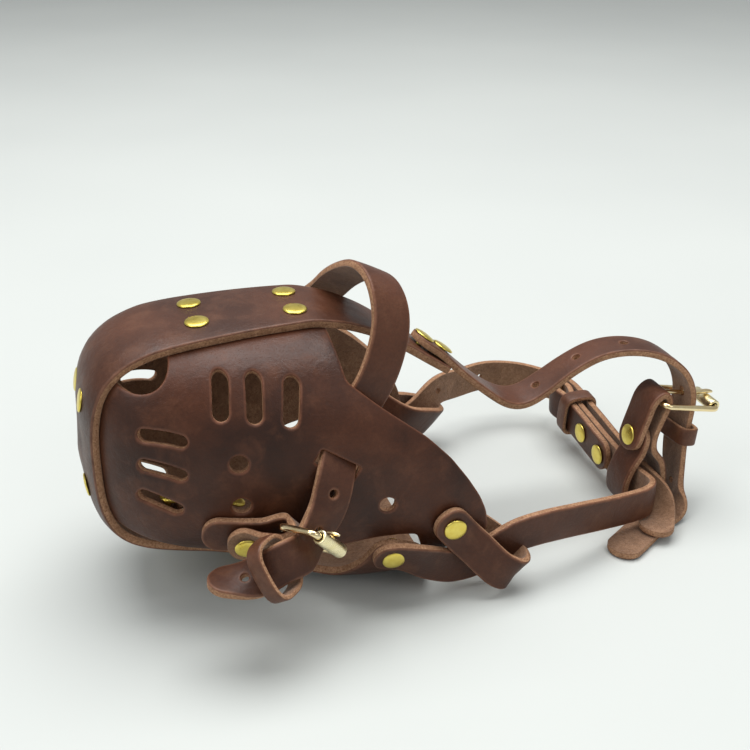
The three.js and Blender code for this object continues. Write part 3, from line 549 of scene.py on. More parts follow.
SIDE_LOOP = held(LOOP_ACROSS, [
    on_side(41.5, 38.5, -1, LOOP_OUT + 0.4), on_side(47, 32.5, -1, LOOP_OUT + 0.3),
    on_side(51, 27.8, -1, LOOP_OUT + 1.3), (55.6, -59.4, 22.2), (60.6, -62, 16.4), (65.2, -64, 12),
    (70, -63.8, 10), (73.2, -59.2, 10.6), (71, -52.4, 12.8), (65.6, -46.4, 17), (58, -43.4, 22.8),
    on_side(47, 32.5, -1, LOOP_IN - 0.4), on_side(41.5, 38.5, -1, LOOP_IN - 0.4),
])
FAR_LOOP = held(LOOP_ACROSS, [
    on_side(41.5, 38.5, 1, LOOP_OUT + 0.4), on_side(47, 32.5, 1, LOOP_OUT + 0.3),
    on_side(51.6, 28.6, 1, LOOP_OUT + 1.3), (58.4, 60.4, 24.4), (66.4, 64, 20.6), (75, 65.4, 16.8),
    (81.6, 61.4, 14.2), (79.4, 53.6, 15.4), (71.4, 47.6, 19.4), (60.4, 43.8, 24.2),
    on_side(47, 32.5, 1, LOOP_IN - 0.4), on_side(41.5, 38.5, 1, LOOP_IN - 0.4),
])
NECK_START = [
    (on_side(14.4, 25.6, -1, CHIN_OUT), (-0.1, -0.4, 0.91)),
    (on_side(22.3, 25.5, -1, CHIN_OUT), (0, -0.4, 0.91)), ((31, -58.3, 21.6), (0.1, -0.3, 0.95)),
    ((40, -56.4, 16), (0.08, -0.15, 1)), ((48.6, -54.8, 12.4), (-0.05, 0, 1)),
    ((58.6, -54, 12.6), (-0.35, 0, 1)), ((66.5, -55.2, 17), (-0.45, 0, 0.9)),
    ((74.4, -56, 21.6), (-0.4, 0, 0.95)),
]
NEAR_NECK = NECK_START + [((84, -55.6, 22.8), (-0.1, 0, 1))] + held(UP, [
    (100, -52, 20.6), (120, -47, 17), (136, -43.4, 15), (143.6, -42, 15.2), (148.2, -38, 15.2),
    (148.2, -32, 15), (147.2, -21, 14.6), (146.4, 0, 16.6), (146.2, 20, 19.2), (146.4, 36, 21),
    (148, 44, 21.8), (144.2, 50.4, 22.2), (140.4, 44, 21.8), (142.2, 36, 21), (142.4, 20, 19.2),
    (142.6, -8.6, 15.6),
])
FAR_NECK = mirrored(NECK_START) + [((83, 59.2, 28.6), (-0.1, 0, 1))] + held(UP, [
    (97, 66.4, 27), (115, 71.5, 26.4), (131, 68.5, 24.8), (141.5, 62, 23), (149.6, 53, 22.2),
    (151.8, 42, 21.6), (151.4, 32, 20.6), (151.6, 18, 19), (151.6, 0, 16.6), (151.9, -16, 14.6),
]) + [
    ((153.2, -27, 12.6), (0.1, 0, 1)), ((153.8, -34.5, 9.2), (0.6, -0.15, 0.75)),
    ((150, -41.5, 5.6), (0.92, -0.3, 0.05)), ((145.4, -48.4, 5.5), (0.93, -0.36, 0)),
    ((142, -53, 5.4), (0.93, -0.36, -0.05)),
]
FOREHEAD = [
    (on_top(46, FOREHEAD_OUT), ACROSS_Y), (on_top(57, FOREHEAD_OUT), ACROSS_Y),
    ((66, -0.6, 75.5), ACROSS_Y), ((80, -2, 62.6), ACROSS_Y), ((91, -3, 55.4), (0, 1, 0.1)),
    ((99, -2.6, 54.4), (0, 1, 0.12)), ((109, -2.4, 59), (0, 1, 0.1)), ((121, -3, 66.8), ACROSS_Y),
    ((134, -4, 72.4), ACROSS_Y), ((147, -7.5, 74), ACROSS_Y), ((159, -12, 71.4), ACROSS_Y),
    ((168, -16, 64), ACROSS_Y), ((171.4, -18.4, 54), ACROSS_Y), ((170.6, -19.4, 44), ACROSS_Y),
    ((168.8, -20.4, 32), ACROSS_Y), ((168.4, -22, 20), ACROSS_Y), ((167.4, -26, 9.5), (0.2, 1, 0)),
    ((163, -34, 3), (0.4, 1, 0)), ((151, -38.5, 2), (0.5, 1, 0)), ((136, -48, 2), (0.5, 1, 0)),
    ((122, -56.5, 2), (0.5, 1, 0)),
]
FOREHEAD_TAB = held(ACROSS_Y, [
    (143.6, -20.8, 30), (145.2, -20.6, 36.5), (148.4, -20, 46), (152, -19.4, 54.8), (157, -19, 57.2),
    (159.6, -19, 53), (156, -20, 45), (153, -20.6, 37), (153.4, -20.7, 30.5), (157.8, -20.8, 24.4),
    (160, -20.8, 14), (160, -20.8, 4.4), (150.5, -20.8, 2.1), (142.4, -20.8, 5), (140.8, -20.8, 14),
    (143.2, -20.8, 22.5), (147.6, -20.7, 30), (149.1, -20.6, 36), (150.6, -20.6, 41),
])
NOSE_STRAP = [
    (on_side(3, 74, 1, LOOP_IN), (1, 0, -0.25)), (on_side(7, 84, 1, LOOP_IN), (1, 0, -0.35)),
    ((14, 35.4, 94.5), (1, 0, -0.45)), *held((1, 0, -0.5), [
        (19.8, 26.4, 103.5), (22.2, 15, 112.8), (24.7, 2, 120.6), (26.8, -10, 125.2), (28.4, -20, 124.8),
        (28.9, -27.6, 120.6), (28.4, -33, 112.6),
    ]),
    ((25.4, -36.4, 102.4), (0.95, 0, -0.5)), ((20.4, -38.6, 91.6), SLANT), ((14.4, -39.8, 83), SLANT),
    (on_side(6.6, 75.4, -1, -5.6), SLANT), (on_side(3.1, 68.6, -1, -3.6), SLANT),
    (on_side(1, 64.2, -1, 0.6), SLANT), (on_side(-1, 59, -1, 3.4), (0.9, -0.05, -0.45)),
    ((-4.6, -58, 51.8), (0.75, 0, -0.65)), ((-12.4, -62.6, 43.4), (0.61, 0.265, -0.747)),
    ((-14.7, -65, 41.3), (0.6, 0.22, -0.76)), ((-18.4, -69.2, 42.2), (0.58, -0.08, -0.8)),
    ((-22.6, -71.2, 42.8), (0.55, -0.25, -0.8)), ((-27.2, -71.8, 41.6), (0.55, -0.25, -0.8)),
    ((-32.6, -71.6, 39), (0.4, -0.6, -0.68)), ((-39, -70.2, 37.2), (0.1, -0.97, -0.2)),
    ((-52, -67.4, 37.4), (0, -1, 0.1)),
]
BUCKLES = {
    "forehead": dict(heel=(155.7, -19, 53), along=(26.8, 0, -5.6), bar=(0, 1, 0), span=27),
    "neck": dict(heel=(144.2, 45.4, 22), along=(4.6, 17, 0), bar=(0, 0, 1), span=18),
    "nose": dict(heel=(-16.8, -56.4, 42), along=(0.58, -0.79, 0.195), bar=(0.61, 0.265, -0.747), span=17),
}


def tab_turn(along_by, out_by):
    b = BUCKLES["nose"]
    along = unit(b["along"])
    out = unit(np.cross(unit(b["bar"]), along))
    return np.asarray(b["heel"], float) + along * along_by + out * out_by


NOSE_TAB = [
    (on_side(-49, 43.5, -1, LOOP_OUT + 0.2), (0, 0.2, -1)),
    (on_side(-41, 42.3, -1, LOOP_OUT + 0.2), (0, 0.2, -1)),
    (on_side(-33, 41.4, -1, LOOP_OUT + 0.2), (0.1, 0.2, -1)),
    (on_side(-25, 42.4, -1, LOOP_OUT + 0.9), (0.35, 0.25, -0.9)),
    (tab_turn(-1.5, -4), BUCKLES["nose"]["bar"]), (tab_turn(4.4, 0), BUCKLES["nose"]["bar"]),
    (tab_turn(-1.5, 4), BUCKLES["nose"]["bar"]),
    (on_side(-27, 40.6, -1, 7.6), (0.3, 0.25, -0.9)),
    (on_side(-33, 41, -1, 6), (0.1, 0.2, -1)), (on_side(-40, 41.8, -1, 5.8), (0, 0.2, -1)),
]


class Path:
    """Smooth centre line of a strap with its width direction, sampled every half millimetre."""

    def __init__(self, points, smooth, closed=False):
        p = np.array([q[0] for q in points], float)
        w = unit(np.array([q[1] for q in points], float))
        if closed:
            p = np.vstack([p[-3:], p, p[:4]])
            w = np.vstack([w[-3:], w, w[:4]])
        line, knots = self.catmull(p)
        s = lengths(line)
        at = s[knots]
        if closed:
            low, high = at[3], at[-4]
            count = int(round((high - low) / 0.5))
            self.s = np.linspace(low, high, count + 1)
        else:
            count = int(round(s[-1] / 0.5))
            self.s = np.linspace(0, s[-1], count + 1)
        step = self.s[1] - self.s[0]
        line = np.stack([np.interp(self.s, s, line[:, k]) for k in range(3)], 1)
        across = self.turned(w, at, self.s)
        line = self.blur(line, smooth / step, closed)
        across = self.blur(across, 1.6 * smooth / step, closed)
        if closed:
            along = np.roll(line[:-1], -1, 0) - np.roll(line[:-1], 1, 0)
            along = np.vstack([along, along[:1]])
        else:
            along = np.gradient(line, axis=0)
        along = unit(along)
        across = unit(across - along * (across * along).sum(1, keepdims=True))
        self.s = self.s - self.s[0]
        self.line, self.along, self.across = line, along, across
        self.normal = unit(np.cross(across, along))
        self.length = self.s[-1]

    @staticmethod
    def catmull(p):
        ends = np.vstack([2 * p[0] - p[1], p, 2 * p[-1] - p[-2]])
        out, knots = [], [0]
        for i in range(1, len(ends) - 2):
            a, b, c, d = ends[i - 1 : i + 3]
            t1 = np.linalg.norm(b - a) ** 0.5
            t2 = t1 + np.linalg.norm(c - b) ** 0.5
            t3 = t2 + np.linalg.norm(d - c) ** 0.5
            t = np.linspace(t1, t2, 40, endpoint=False)[:, None]
            a1 = (t1 - t) / t1 * a + t / t1 * b
            a2 = (t2 - t) / (t2 - t1) * b + (t - t1) / (t2 - t1) * c
            a3 = (t3 - t) / (t3 - t2) * c + (t - t2) / (t3 - t2) * d
            b1 = (t2 - t) / t2 * a1 + t / t2 * a2
            b2 = (t3 - t) / (t3 - t1) * a2 + (t - t1) / (t3 - t1) * a3
            out.append((t2 - t) / (t2 - t1) * b1 + (t - t1) / (t2 - t1) * b2)
            knots.append(knots[-1] + 40)
        out.append(p[-1:])
        return np.vstack(out), np.array(knots)

    @staticmethod
    def turned(w, at, s):
        i = np.clip(np.searchsorted(at, s, side="right") - 1, 0, len(at) - 2)
        t = np.clip((s - at[i]) / (at[i + 1] - at[i]), 0, 1)
        t = (t * t * (3 - 2 * t))[:, None]
        return unit(w[i] * (1 - t) + w[i + 1] * t)

    @staticmethod
    def blur(values, sigma, closed=False):
        if sigma < 0.5:
            return values
        size = int(3 * sigma)
        kernel = np.exp(-0.5 * (np.arange(-size, size + 1) / sigma) ** 2)
        kernel /= kernel.sum()
        if closed:
            ring = values[:-1]
            padded = np.vstack([ring[-size:], ring, ring[:size]])
        else:
            first = 2 * values[0] - values[1 : size + 1][::-1]
            last = 2 * values[-1] - values[-size - 1 : -1][::-1]
            padded = np.vstack([first, values, last])
        out = np.stack([np.convolve(padded[:, k], kernel, "valid") for k in range(values.shape[1])], 1)
        return np.vstack([out, out[:1]]) if closed else out

    def at(self, s):
        pick = lambda rows: np.stack([np.interp(s, self.s, rows[:, k]) for k in range(3)], 1)
        return pick(self.line), unit(pick(self.across)), unit(pick(self.normal))


def strap_outline(length):
    """A flat strap with its tip and heel rounded."""
    half = STRAP / 2
    reach = 0.85 * half
    t = np.linspace(-math.pi / 2, math.pi / 2, 24)
    tip = np.stack([length - reach + reach * np.cos(t), half * np.sin(t)], 1)
    heel = np.stack([reach - reach * np.cos(t), -half * np.sin(t)], 1)
    return np.vstack([tip, heel])


def strap(name, path, grain, holes, slots):
    """A slightly crowned strap along its path; holes lie at lengths along it and slots run between two."""
    cuts = [disc((s, 0), HOLE / 2, 28) for s in holes]
    cuts += [stadium((a, 0), (b, 0), HOLE) for a, b in slots]
    outline = eased(resample(strap_outline(path.length), 0.7), 2)
    flat, faces, d = triangulate(outline, cuts, STRAP_MESH, 0.7)
    line, across, normal = path.at(flat[:, 0])
    normal = normal * grain
    bow = CROWN * (1 - (flat[:, 1] / (STRAP / 2)) ** 2)

    def place(points, height):
        return line + across * points[:, 1][:, None] + normal * (height + bow - CROWN / 2)[:, None]

    return sheet_mesh(name, flat, faces, d, place)


def ring_strip(name, path, width):
    """A closed keeper of leather swept round a path."""
    r = 0.7
    half, t = width / 2, KEEPER_LEATHER / 2
    section = []
    corners = [
        ((half - r, t - r), 0), ((-half + r, t - r), 90),
        ((-half + r, -t + r), 180), ((half - r, -t + r), 270),
    ]
    for (cx, cz), turn in corners:
        for step in (0, 30, 60, 90):
            a = math.radians(turn + step)
            section.append((cx + r * math.cos(a), cz + r * math.sin(a)))
    section = np.array(section)
    count = int(path.length / 0.8)
    s = np.linspace(0, path.length, count, endpoint=False)
    line, across, normal = path.at(s)
    points = (
        line[:, None, :]
        + across[:, None, :] * section[None, :, 0, None]
        + normal[:, None, :] * section[None, :, 1, None]
    ).reshape(-1, 3)
    height = (section[:, 1] + np.roll(section[:, 1], -1)) / 2
    slots = np.where(np.abs(height) > t - 0.35, np.where(height > 0, 0, 2), 1)
    wear = np.minimum(half - np.abs(section[:, 0]), 9)
    polys = ring_faces(count, len(section), True)
    return finish_mesh(name, points, polys, np.tile(slots, count), np.tile(wear, count))


# ---------------- metal parts


def lathe(name, seat, axis, profile, steps):
    """A profile of (radius, height) turned about an axis through its seat."""
    axis = unit(axis)
    side = unit(np.cross(axis, (0.3, 0.9, 0.1)))
    other = np.cross(axis, side)
    seat = np.asarray(seat, float)
    t = np.linspace(0, 2 * math.pi, steps, endpoint=False)
    points, polys = [], []
    for r, h in profile:
        if r < 1e-6:
            points.append([seat + axis * h])
        else:
            points.append(seat + axis * h + r * (np.cos(t)[:, None] * side + np.sin(t)[:, None] * other))
    start = np.concatenate([[0], np.cumsum([len(p) for p in points])])
    for i in range(len(points) - 1):
        a, b = start[i], start[i + 1]
        for j in range(steps):
            k = (j + 1) % steps
            if len(points[i]) == 1:
                polys.append((a, b + k, b + j))
            elif len(points[i + 1]) == 1:
                polys.append((a + j, a + k, b))
            else:
                polys.append((a + j, a + k, b + k, b + j))
    return finish_mesh(name, np.vstack(points), polys, [0] * len(polys), smooth_angle=40)


def rivet(name, seat, axis, inner, outer):
    """A domed cap on the leather at the height outer and a flat one behind it at inner."""
    top, low = outer + 0.05, inner - 0.05
    profile = [
        (0, low - 0.95), (1.2, low - 0.92), (1.9, low - 1.05), (3.2, low - 0.9), (3.75, low - 0.55),
        (3.8, low - 0.1), (3.2, low), (1.4, low), (1.4, top), (4.0, top), (4.55, top + 0.12),
        (4.65, top + 0.35), (4.55, top + 0.6), (4.2, top + 0.8), (3.2, top + 1.0), (2.0, top + 1.12),
        (0.9, top + 1.17), (0, top + 1.18),
    ]
    piece = lathe(name + "_piece", seat, axis, profile, 44)
    dress(piece, [brass], "muzzle", name)


def tube_mesh(name, points, radii, flat, closed, sides=16, squash=1.0):
    """A wire along its points; flat is the direction in which squash widens it."""
    if closed:
        along = unit(np.roll(points, -1, 0) - np.roll(points, 1, 0))
    else:
        along = unit(np.gradient(points, axis=0))
    out = unit(flat - along * (flat * along).sum(1, keepdims=True))
    up = np.cross(along, out)
    t = np.linspace(0, 2 * math.pi, sides, endpoint=False)
    rings = (
        points[:, None, :]
        + out[:, None, :] * (np.cos(t)[None, :, None] * radii[:, None, None] * squash)
        + up[:, None, :] * (np.sin(t)[None, :, None] * radii[:, None, None])
    )
    count = len(points)
    polys = ring_faces(count, sides, closed)
    if not closed:
        polys.append(tuple(range(sides))[::-1])
        polys.append(tuple((count - 1) * sides + j for j in range(sides)))
    return finish_mesh(name, rings.reshape(-1, 3), polys, [0] * len(polys), smooth_angle=60)


def smooth_loop(points, step, rounds):
    """A closed wire's line, evenly spaced and rounded."""
    closed = np.vstack([points, points[:1]])
    length = lengths(closed)
    at = np.linspace(0, length[-1], int(length[-1] / step), endpoint=False)
    return eased(np.stack([np.interp(at, length, closed[:, k]) for k in range(3)], 1), rounds)


OPENING, WIRE, PRONG_WIRE, ROLLER_OUT, ROLLER_IN = 17.6, 1.3, 1.0, 2.8, 1.7
CORNER = 2.6


def buckle(label, heel, along, bar, span):
    """A roller buckle: frame, roller on the front bar and prong curled round the heel bar."""
    u, w = unit(along), unit(bar)
    n = -unit(np.cross(w, u))
    origin = np.asarray(heel, float)
    place = lambda a, b, c: origin + u * a + w * b + n * c
    half = OPENING / 2 + WIRE
    rim = []
    for a, b, turn in [(0, -half, 180), (span, -half, 270), (span, half, 0), (0, half, 90)]:
        for step in range(0, 91, 9):
            t = math.radians(turn + step)
            ca = a + (-CORNER if a else CORNER) + CORNER * math.cos(t)
            cb = b + (-CORNER if b > 0 else CORNER) + CORNER * math.sin(t)
            rim.append(place(ca, cb, 0))
    loop = smooth_loop(np.array(rim), 0.5, 2)
    count = len(loop)
    piece = tube_mesh(label + "_frame_piece", loop, np.full(count, WIRE), np.tile(n, (count, 1)), True)
    dress(piece, [gold], "muzzle", label + "_buckle_frame")
    reach = OPENING / 2 - 1.5
    profile = [
        (ROLLER_IN, -reach), (ROLLER_IN + 0.3, -reach - 0.1), (ROLLER_OUT - 0.35, -reach - 0.1),
        (ROLLER_OUT - 0.08, -reach + 0.1), (ROLLER_OUT, -reach + 0.5), (ROLLER_OUT, reach - 0.5),
        (ROLLER_OUT - 0.08, reach - 0.1), (ROLLER_OUT - 0.35, reach + 0.1),
        (ROLLER_IN + 0.3, reach + 0.1), (ROLLER_IN, reach), (ROLLER_IN, -reach),
    ]
    roller = lathe(label + "_roller_piece", place(span, 0, 0), w, profile, 48)
    dress(roller, [roller_gold], label + "_roller", label + "_buckle_roller")
    curl = WIRE + PRONG_WIRE + 0.4
    wire = []
    for t in range(-150, 91, 10):
        a = math.radians(t)
        wire.append(place(-curl * math.cos(a), 0, curl * math.sin(a)))
    rest = ROLLER_OUT + PRONG_WIRE + 0.25
    wire += [
        place(span * 0.25, 0, curl + 0.1), place(span * 0.5, 0, curl + 0.2),
        place(span * 0.72, 0, curl + 0.5), place(span - 3, 0, rest - 0.4),
        place(span - 0.5, 0, rest), place(span + 2.4, 0, rest - 0.2),
    ]
    wire = Path([(p, w) for p in wire], smooth=0.7)
    count = len(wire.line)
    tail = np.clip((wire.length - wire.s) / 3.0, 0, 1)
    radii = PRONG_WIRE * (0.45 + 0.55 * np.sqrt(tail)) * (1 - 0.1 * (wire.s < 1))
    prong = tube_mesh(label + "_prong_piece", wire.line, radii, np.tile(w, (count, 1)), False, 14, 1.15)
    dress(prong, [gold], label + "_prong", label + "_buckle_prong")


def keeper_path(centre, across, axis, clear_across, clear_through, square):
    """Closed middle line of a keeper ring; axis is the strap's run and square its corners' sharpness."""
    along = unit(axis)
    w = np.asarray(across, float)
    w = unit(w - along * (w @ along))
    n = unit(np.cross(w, along))
    a, b = clear_across / 2 + KEEPER_LEATHER / 2, clear_through / 2 + KEEPER_LEATHER / 2
    points = []
    for t in np.linspace(0, 2 * math.pi, 22, endpoint=False):
        c, s = math.cos(t), math.sin(t)
        p = a * math.copysign(abs(c) ** square, c)
        q = b * math.copysign(abs(s) ** square, s)
        points.append((np.asarray(centre, float) + w * p + n * q, along))
    return Path(points, smooth=0.8, closed=True)


# ---------------- materials


def node_tree(name):
    material = bpy.data.materials.new(name)
    material.use_nodes = True
    tree = material.node_tree
    tree.nodes.clear()
    return material, tree


class Nodes:
    """Short calls for building a node tree."""

    def __init__(self, tree):
        self.tree = tree

    def add(self, kind, **values):
        node = self.tree.nodes.new(kind)
        inputs = values.pop("inputs", {})
        for key, value in values.items():
            setattr(node, key, value)
        for key, value in inputs.items():
            socket = node.inputs[key]
            if isinstance(value, bpy.types.NodeSocket):
                self.tree.links.new(value, socket)
            else:
                socket.default_value = value
        return node

    def coords(self):
        return self.add("ShaderNodeTexCoord").outputs["Object"]

    def noise(self, vector, scale, detail=4, rough=0.55, distortion=0.0):
        node = self.add("ShaderNodeTexNoise", inputs={
            "Vector": vector, "Scale": scale, "Detail": detail, "Roughness": rough,
            "Distortion": distortion})
        return node.outputs["Fac"]

    def voronoi(self, vector, scale):
        node = self.add("ShaderNodeTexVoronoi", inputs={"Vector": vector, "Scale": scale})
        return node.outputs["Distance"]

    def span(self, value, low, high, to_low=0.0, to_high=1.0):
        node = self.add("ShaderNodeMapRange", inputs={
            "Value": value, "From Min": low, "From Max": high, "To Min": to_low, "To Max": to_high})
        return node.outputs["Result"]

    def math(self, how, a, b=0.0):
        return self.add("ShaderNodeMath", operation=how, inputs={0: a, 1: b}).outputs[0]

    def mix(self, factor, a, b):
        node = self.add("ShaderNodeMix", data_type="RGBA")
        for socket, value in ((node.inputs[0], factor), (node.inputs[6], a), (node.inputs[7], b)):
            if isinstance(value, bpy.types.NodeSocket):
                self.tree.links.new(value, socket)
            elif isinstance(value, tuple) and len(value) == 3:
                socket.default_value = (*value, 1)
            else:
                socket.default_value = value
        return node.outputs[2]

    def bump(self, height, distance, strength=1.0, normal=None):
        inputs = {"Height": height, "Distance": distance, "Strength": strength}
        if normal is not None:
            inputs["Normal"] = normal
        return self.add("ShaderNodeBump", inputs=inputs).outputs["Normal"]

    def surface(self, **inputs):
        named = {key.replace("_", " "): value for key, value in inputs.items()}
        shader = self.add("ShaderNodeBsdfPrincipled", inputs={
            key: ((*value, 1) if isinstance(value, tuple) and len(value) == 3 else value)
            for key, value in named.items()})
        out = self.add("ShaderNodeOutputMaterial")
        self.tree.links.new(shader.outputs[0], out.inputs[0])


def leather_grain(name, dark, mid, light, seed=0.0):
    """Oiled full-grain side: clouded colour, fine pores, soft creases, edges rubbed lighter."""
    material, tree = node_tree(name)
    n = Nodes(tree)
    shift = (seed, seed * 0.7, -seed)
    at = n.add("ShaderNodeVectorMath", operation="ADD", inputs={0: n.coords(), 1: shift}).outputs[0]
    clouds = n.noise(at, 26, 3, 0.5)
    blotch = n.noise(at, 95, 5, 0.62, 0.4)
    fine = n.noise(at, 900, 3, 0.6)
    colour = n.mix(n.span(clouds, 0.36, 0.66), dark, mid)
    colour = n.mix(n.span(blotch, 0.5, 0.78, 0, 0.55), colour, light)
    colour = n.mix(n.span(blotch, 0.25, 0.45, 0.4, 0), colour, tuple(c * 0.55 for c in dark))
    edge = n.add("ShaderNodeAttribute", attribute_name="edge_mm").outputs["Fac"]
    rub = n.math("MULTIPLY", n.span(edge, 0.1, 1.1, 1, 0), n.span(n.noise(at, 260, 3), 0.3, 0.7, 0.3, 1))
    colour = n.mix(n.math("MULTIPLY", rub, 0.5), colour, tuple(c * 2.3 + 0.02 for c in light))
    colour = n.mix(n.span(fine, 0.35, 0.65, 0.16, 0), colour, (0.005, 0.003, 0.002))
    pores = n.span(n.voronoi(at, 1500), 0.0, 0.35, 0, 1)
    creases = n.noise(at, 170, 4, 0.6, 1.2)
    normal = n.bump(creases, 0.0007, 0.3)
    normal = n.bump(n.noise(at, 620, 4, 0.65), 0.00022, 0.5, normal)
    normal = n.bump(pores, 0.00009, 0.6, normal)
    gloss = n.span(n.noise(at, 60, 4, 0.6), 0.3, 0.7, 0.35, 0.52)
    gloss = n.math("ADD", gloss, n.span(fine, 0.3, 0.7, -0.03, 0.05))
    n.surface(Base_Color=colour, Roughness=gloss, Normal=normal, Specular_IOR_Level=0.32)
    return material


def leather_edge(name, dark, light):
    """Raw cut edge: packed fibres with dark patches."""
    material, tree = node_tree(name)
    n = Nodes(tree)
    at = n.coords()
    fibre = n.noise(at, 1300, 4, 0.7, 0.5)
    patch = n.noise(at, 240, 4, 0.6)
    colour = n.mix(n.span(fibre, 0.32, 0.68), dark, light)
    colour = n.mix(n.span(patch, 0.35, 0.7, 0.35, 0), colour, tuple(c * 0.5 for c in dark))
    normal = n.bump(fibre, 0.0004, 0.8)
    n.surface(Base_Color=colour, Roughness=0.82, Normal=normal, Specular_IOR_Level=0.25)
    return material


def leather_flesh(name, dark, light):
    """Suede side: loose nap with brushed streaks."""
    material, tree = node_tree(name)
    n = Nodes(tree)
    at = n.coords()
    nap = n.noise(at, 800, 5, 0.72, 0.8)
    brushed = n.noise(at, 120, 4, 0.6, 0.6)
    colour = n.mix(n.span(nap, 0.3, 0.7), dark, light)
    colour = n.mix(n.span(brushed, 0.35, 0.7, 0.5, 0), colour, tuple(c * 0.55 for c in dark))
    normal = n.bump(nap, 0.0005, 0.8)
    n.surface(Base_Color=colour, Roughness=0.93, Normal=normal, Specular_IOR_Level=0.15,
              Sheen_Weight=0.25, Sheen_Roughness=0.5)
    return material


def metal(name, colour, tint, rough):
    """Plated metal with a clouded polish and hairline scratches."""
    material, tree = node_tree(name)
    n = Nodes(tree)
    at = n.coords()
    cloud = n.noise(at, 300, 4, 0.6)
    stretch = n.add("ShaderNodeMapping", inputs={"Vector": at, "Scale": (1, 14, 5)}).outputs[0]
    lines = n.noise(stretch, 420, 3, 0.7)
    shade = n.mix(n.span(cloud, 0.3, 0.7), colour, tint)
    gloss = n.span(cloud, 0.3, 0.7, rough, rough + 0.08)
    gloss = n.math("ADD", gloss, n.span(lines, 0.45, 0.7, 0, 0.06))
    normal = n.bump(lines, 0.00003, 0.35)
    n.surface(Base_Color=shade, Metallic=1.0, Roughness=gloss, Normal=normal)
    return material


PANEL_GRAIN = leather_grain(
    "panel_grain", (0.03, 0.0088, 0.0036), (0.08, 0.0232, 0.0088), (0.155, 0.055, 0.025))
BAND_GRAIN = leather_grain(
    "band_grain", (0.05, 0.016, 0.0072), (0.1, 0.034, 0.0155), (0.165, 0.07, 0.037), seed=3.1)
STRAP_GRAIN = leather_grain(
    "strap_grain", (0.052, 0.0165, 0.0075), (0.108, 0.036, 0.0165), (0.175, 0.074, 0.037), seed=7.7)
EDGE = leather_edge("cut_edge", (0.22, 0.10, 0.048), (0.60, 0.345, 0.20))
FLESH = leather_flesh("flesh_side", (0.20, 0.10, 0.053), (0.42, 0.245, 0.145))
brass = metal("rivet_brass_finish", (0.72, 0.54, 0.085), (0.84, 0.7, 0.18), 0.26)
gold = metal("buckle_gold_finish", (0.86, 0.66, 0.34), (0.93, 0.79, 0.5), 0.12)
roller_gold = metal("roller_gold_finish", (0.84, 0.72, 0.4), (0.92, 0.82, 0.54), 0.22)


def dress(piece, materials, body, node):
    for material in materials:
        piece.data.materials.append(material)
    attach(piece, body)
    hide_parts(node)


def leather(piece, node, grain=STRAP_GRAIN, body="muzzle"):
    dress(piece, [grain, EDGE, FLESH], body, node)


# ---------------- the muzzle

pattern = panel_pattern()
leather(side_panel("near_panel_piece", -1, pattern), "near_side_panel", PANEL_GRAIN)
leather(side_panel("far_panel_piece", 1, pattern), "far_side_panel", PANEL_GRAIN)
leather(centre_band("band_piece"), "centre_band", BAND_GRAIN)

# Centre line of each strap; the number is the length in mm over which its bends are smoothed.
paths = {
    "near_side_loop": Path(SIDE_LOOP, 1.6),
    "far_side_loop": Path(FAR_LOOP, 1.6),
    "near_neck_strap": Path(NEAR_NECK, 2.0),
    "far_neck_strap": Path(FAR_NECK, 3.0),
    "forehead_strap": Path(FOREHEAD, 3.0),
    "forehead_tab": Path(FOREHEAD_TAB, 1.4),
    "nose_strap": Path(NOSE_STRAP, 2.4),
    "nose_tab": Path(NOSE_TAB, 1.2),
}
# Lengths along each strap at which it is punched, and from and to of the slot its prong goes through.
HOLE_ROWS = {
    "far_neck_strap": (49, 79, 109, 139),
    "forehead_strap": (70.6, 92, 113.6, 135, 196),
    "nose_strap": (181.4, 232),
}
PRONG_SLOTS = {
    "far_neck_strap": [(153.4, 156.4)], "forehead_strap": [(152, 153.6)], "nose_strap": [(196.2, 197.4)],
}
# 1 where the grain side faces along the path's normal, -1 where it faces the other way.
GRAIN_SIDE = {
    "near_side_loop": -1, "far_side_loop": 1, "near_neck_strap": -1, "far_neck_strap": 1,
    "forehead_strap": -1, "forehead_tab": -1, "nose_strap": -1, "nose_tab": 1,
}
for node, path in paths.items():
    cuts = HOLE_ROWS.get(node, ()), PRONG_SLOTS.get(node, ())
    leather(strap(node + "_piece", path, GRAIN_SIDE[node], *cuts), node)

# Centre, direction across the strap, direction of the strap's run, clear width and thickness inside,
# width of the ring and sharpness of its corners.
KEEPERS = {
    "forehead": ((169.3, -20.1, 35), ACROSS_Y, (-0.14, -0.08, -0.98), 17.4, 5.6, 8, 0.45),
    "neck": ((146.6, 31, 20.4), UP, (0, 1, 0.1), 17.4, 13.4, 7, 0.45),
    "nose": ((-28, -72, 41), (0.33, -0.4, -0.85), (0.64, -0.55, 0.53), 19.4, 14.4, 6.5, 0.62),
}
for label, (centre, across, axis, clear_across, clear_through, wide, square) in KEEPERS.items():
    path = keeper_path(centre, across, axis, clear_across, clear_through, square)
    ring = ring_strip(label + "_keeper_piece", path, wide)
    leather(ring, label + "_keeper", body=label + "_keeper_ring")

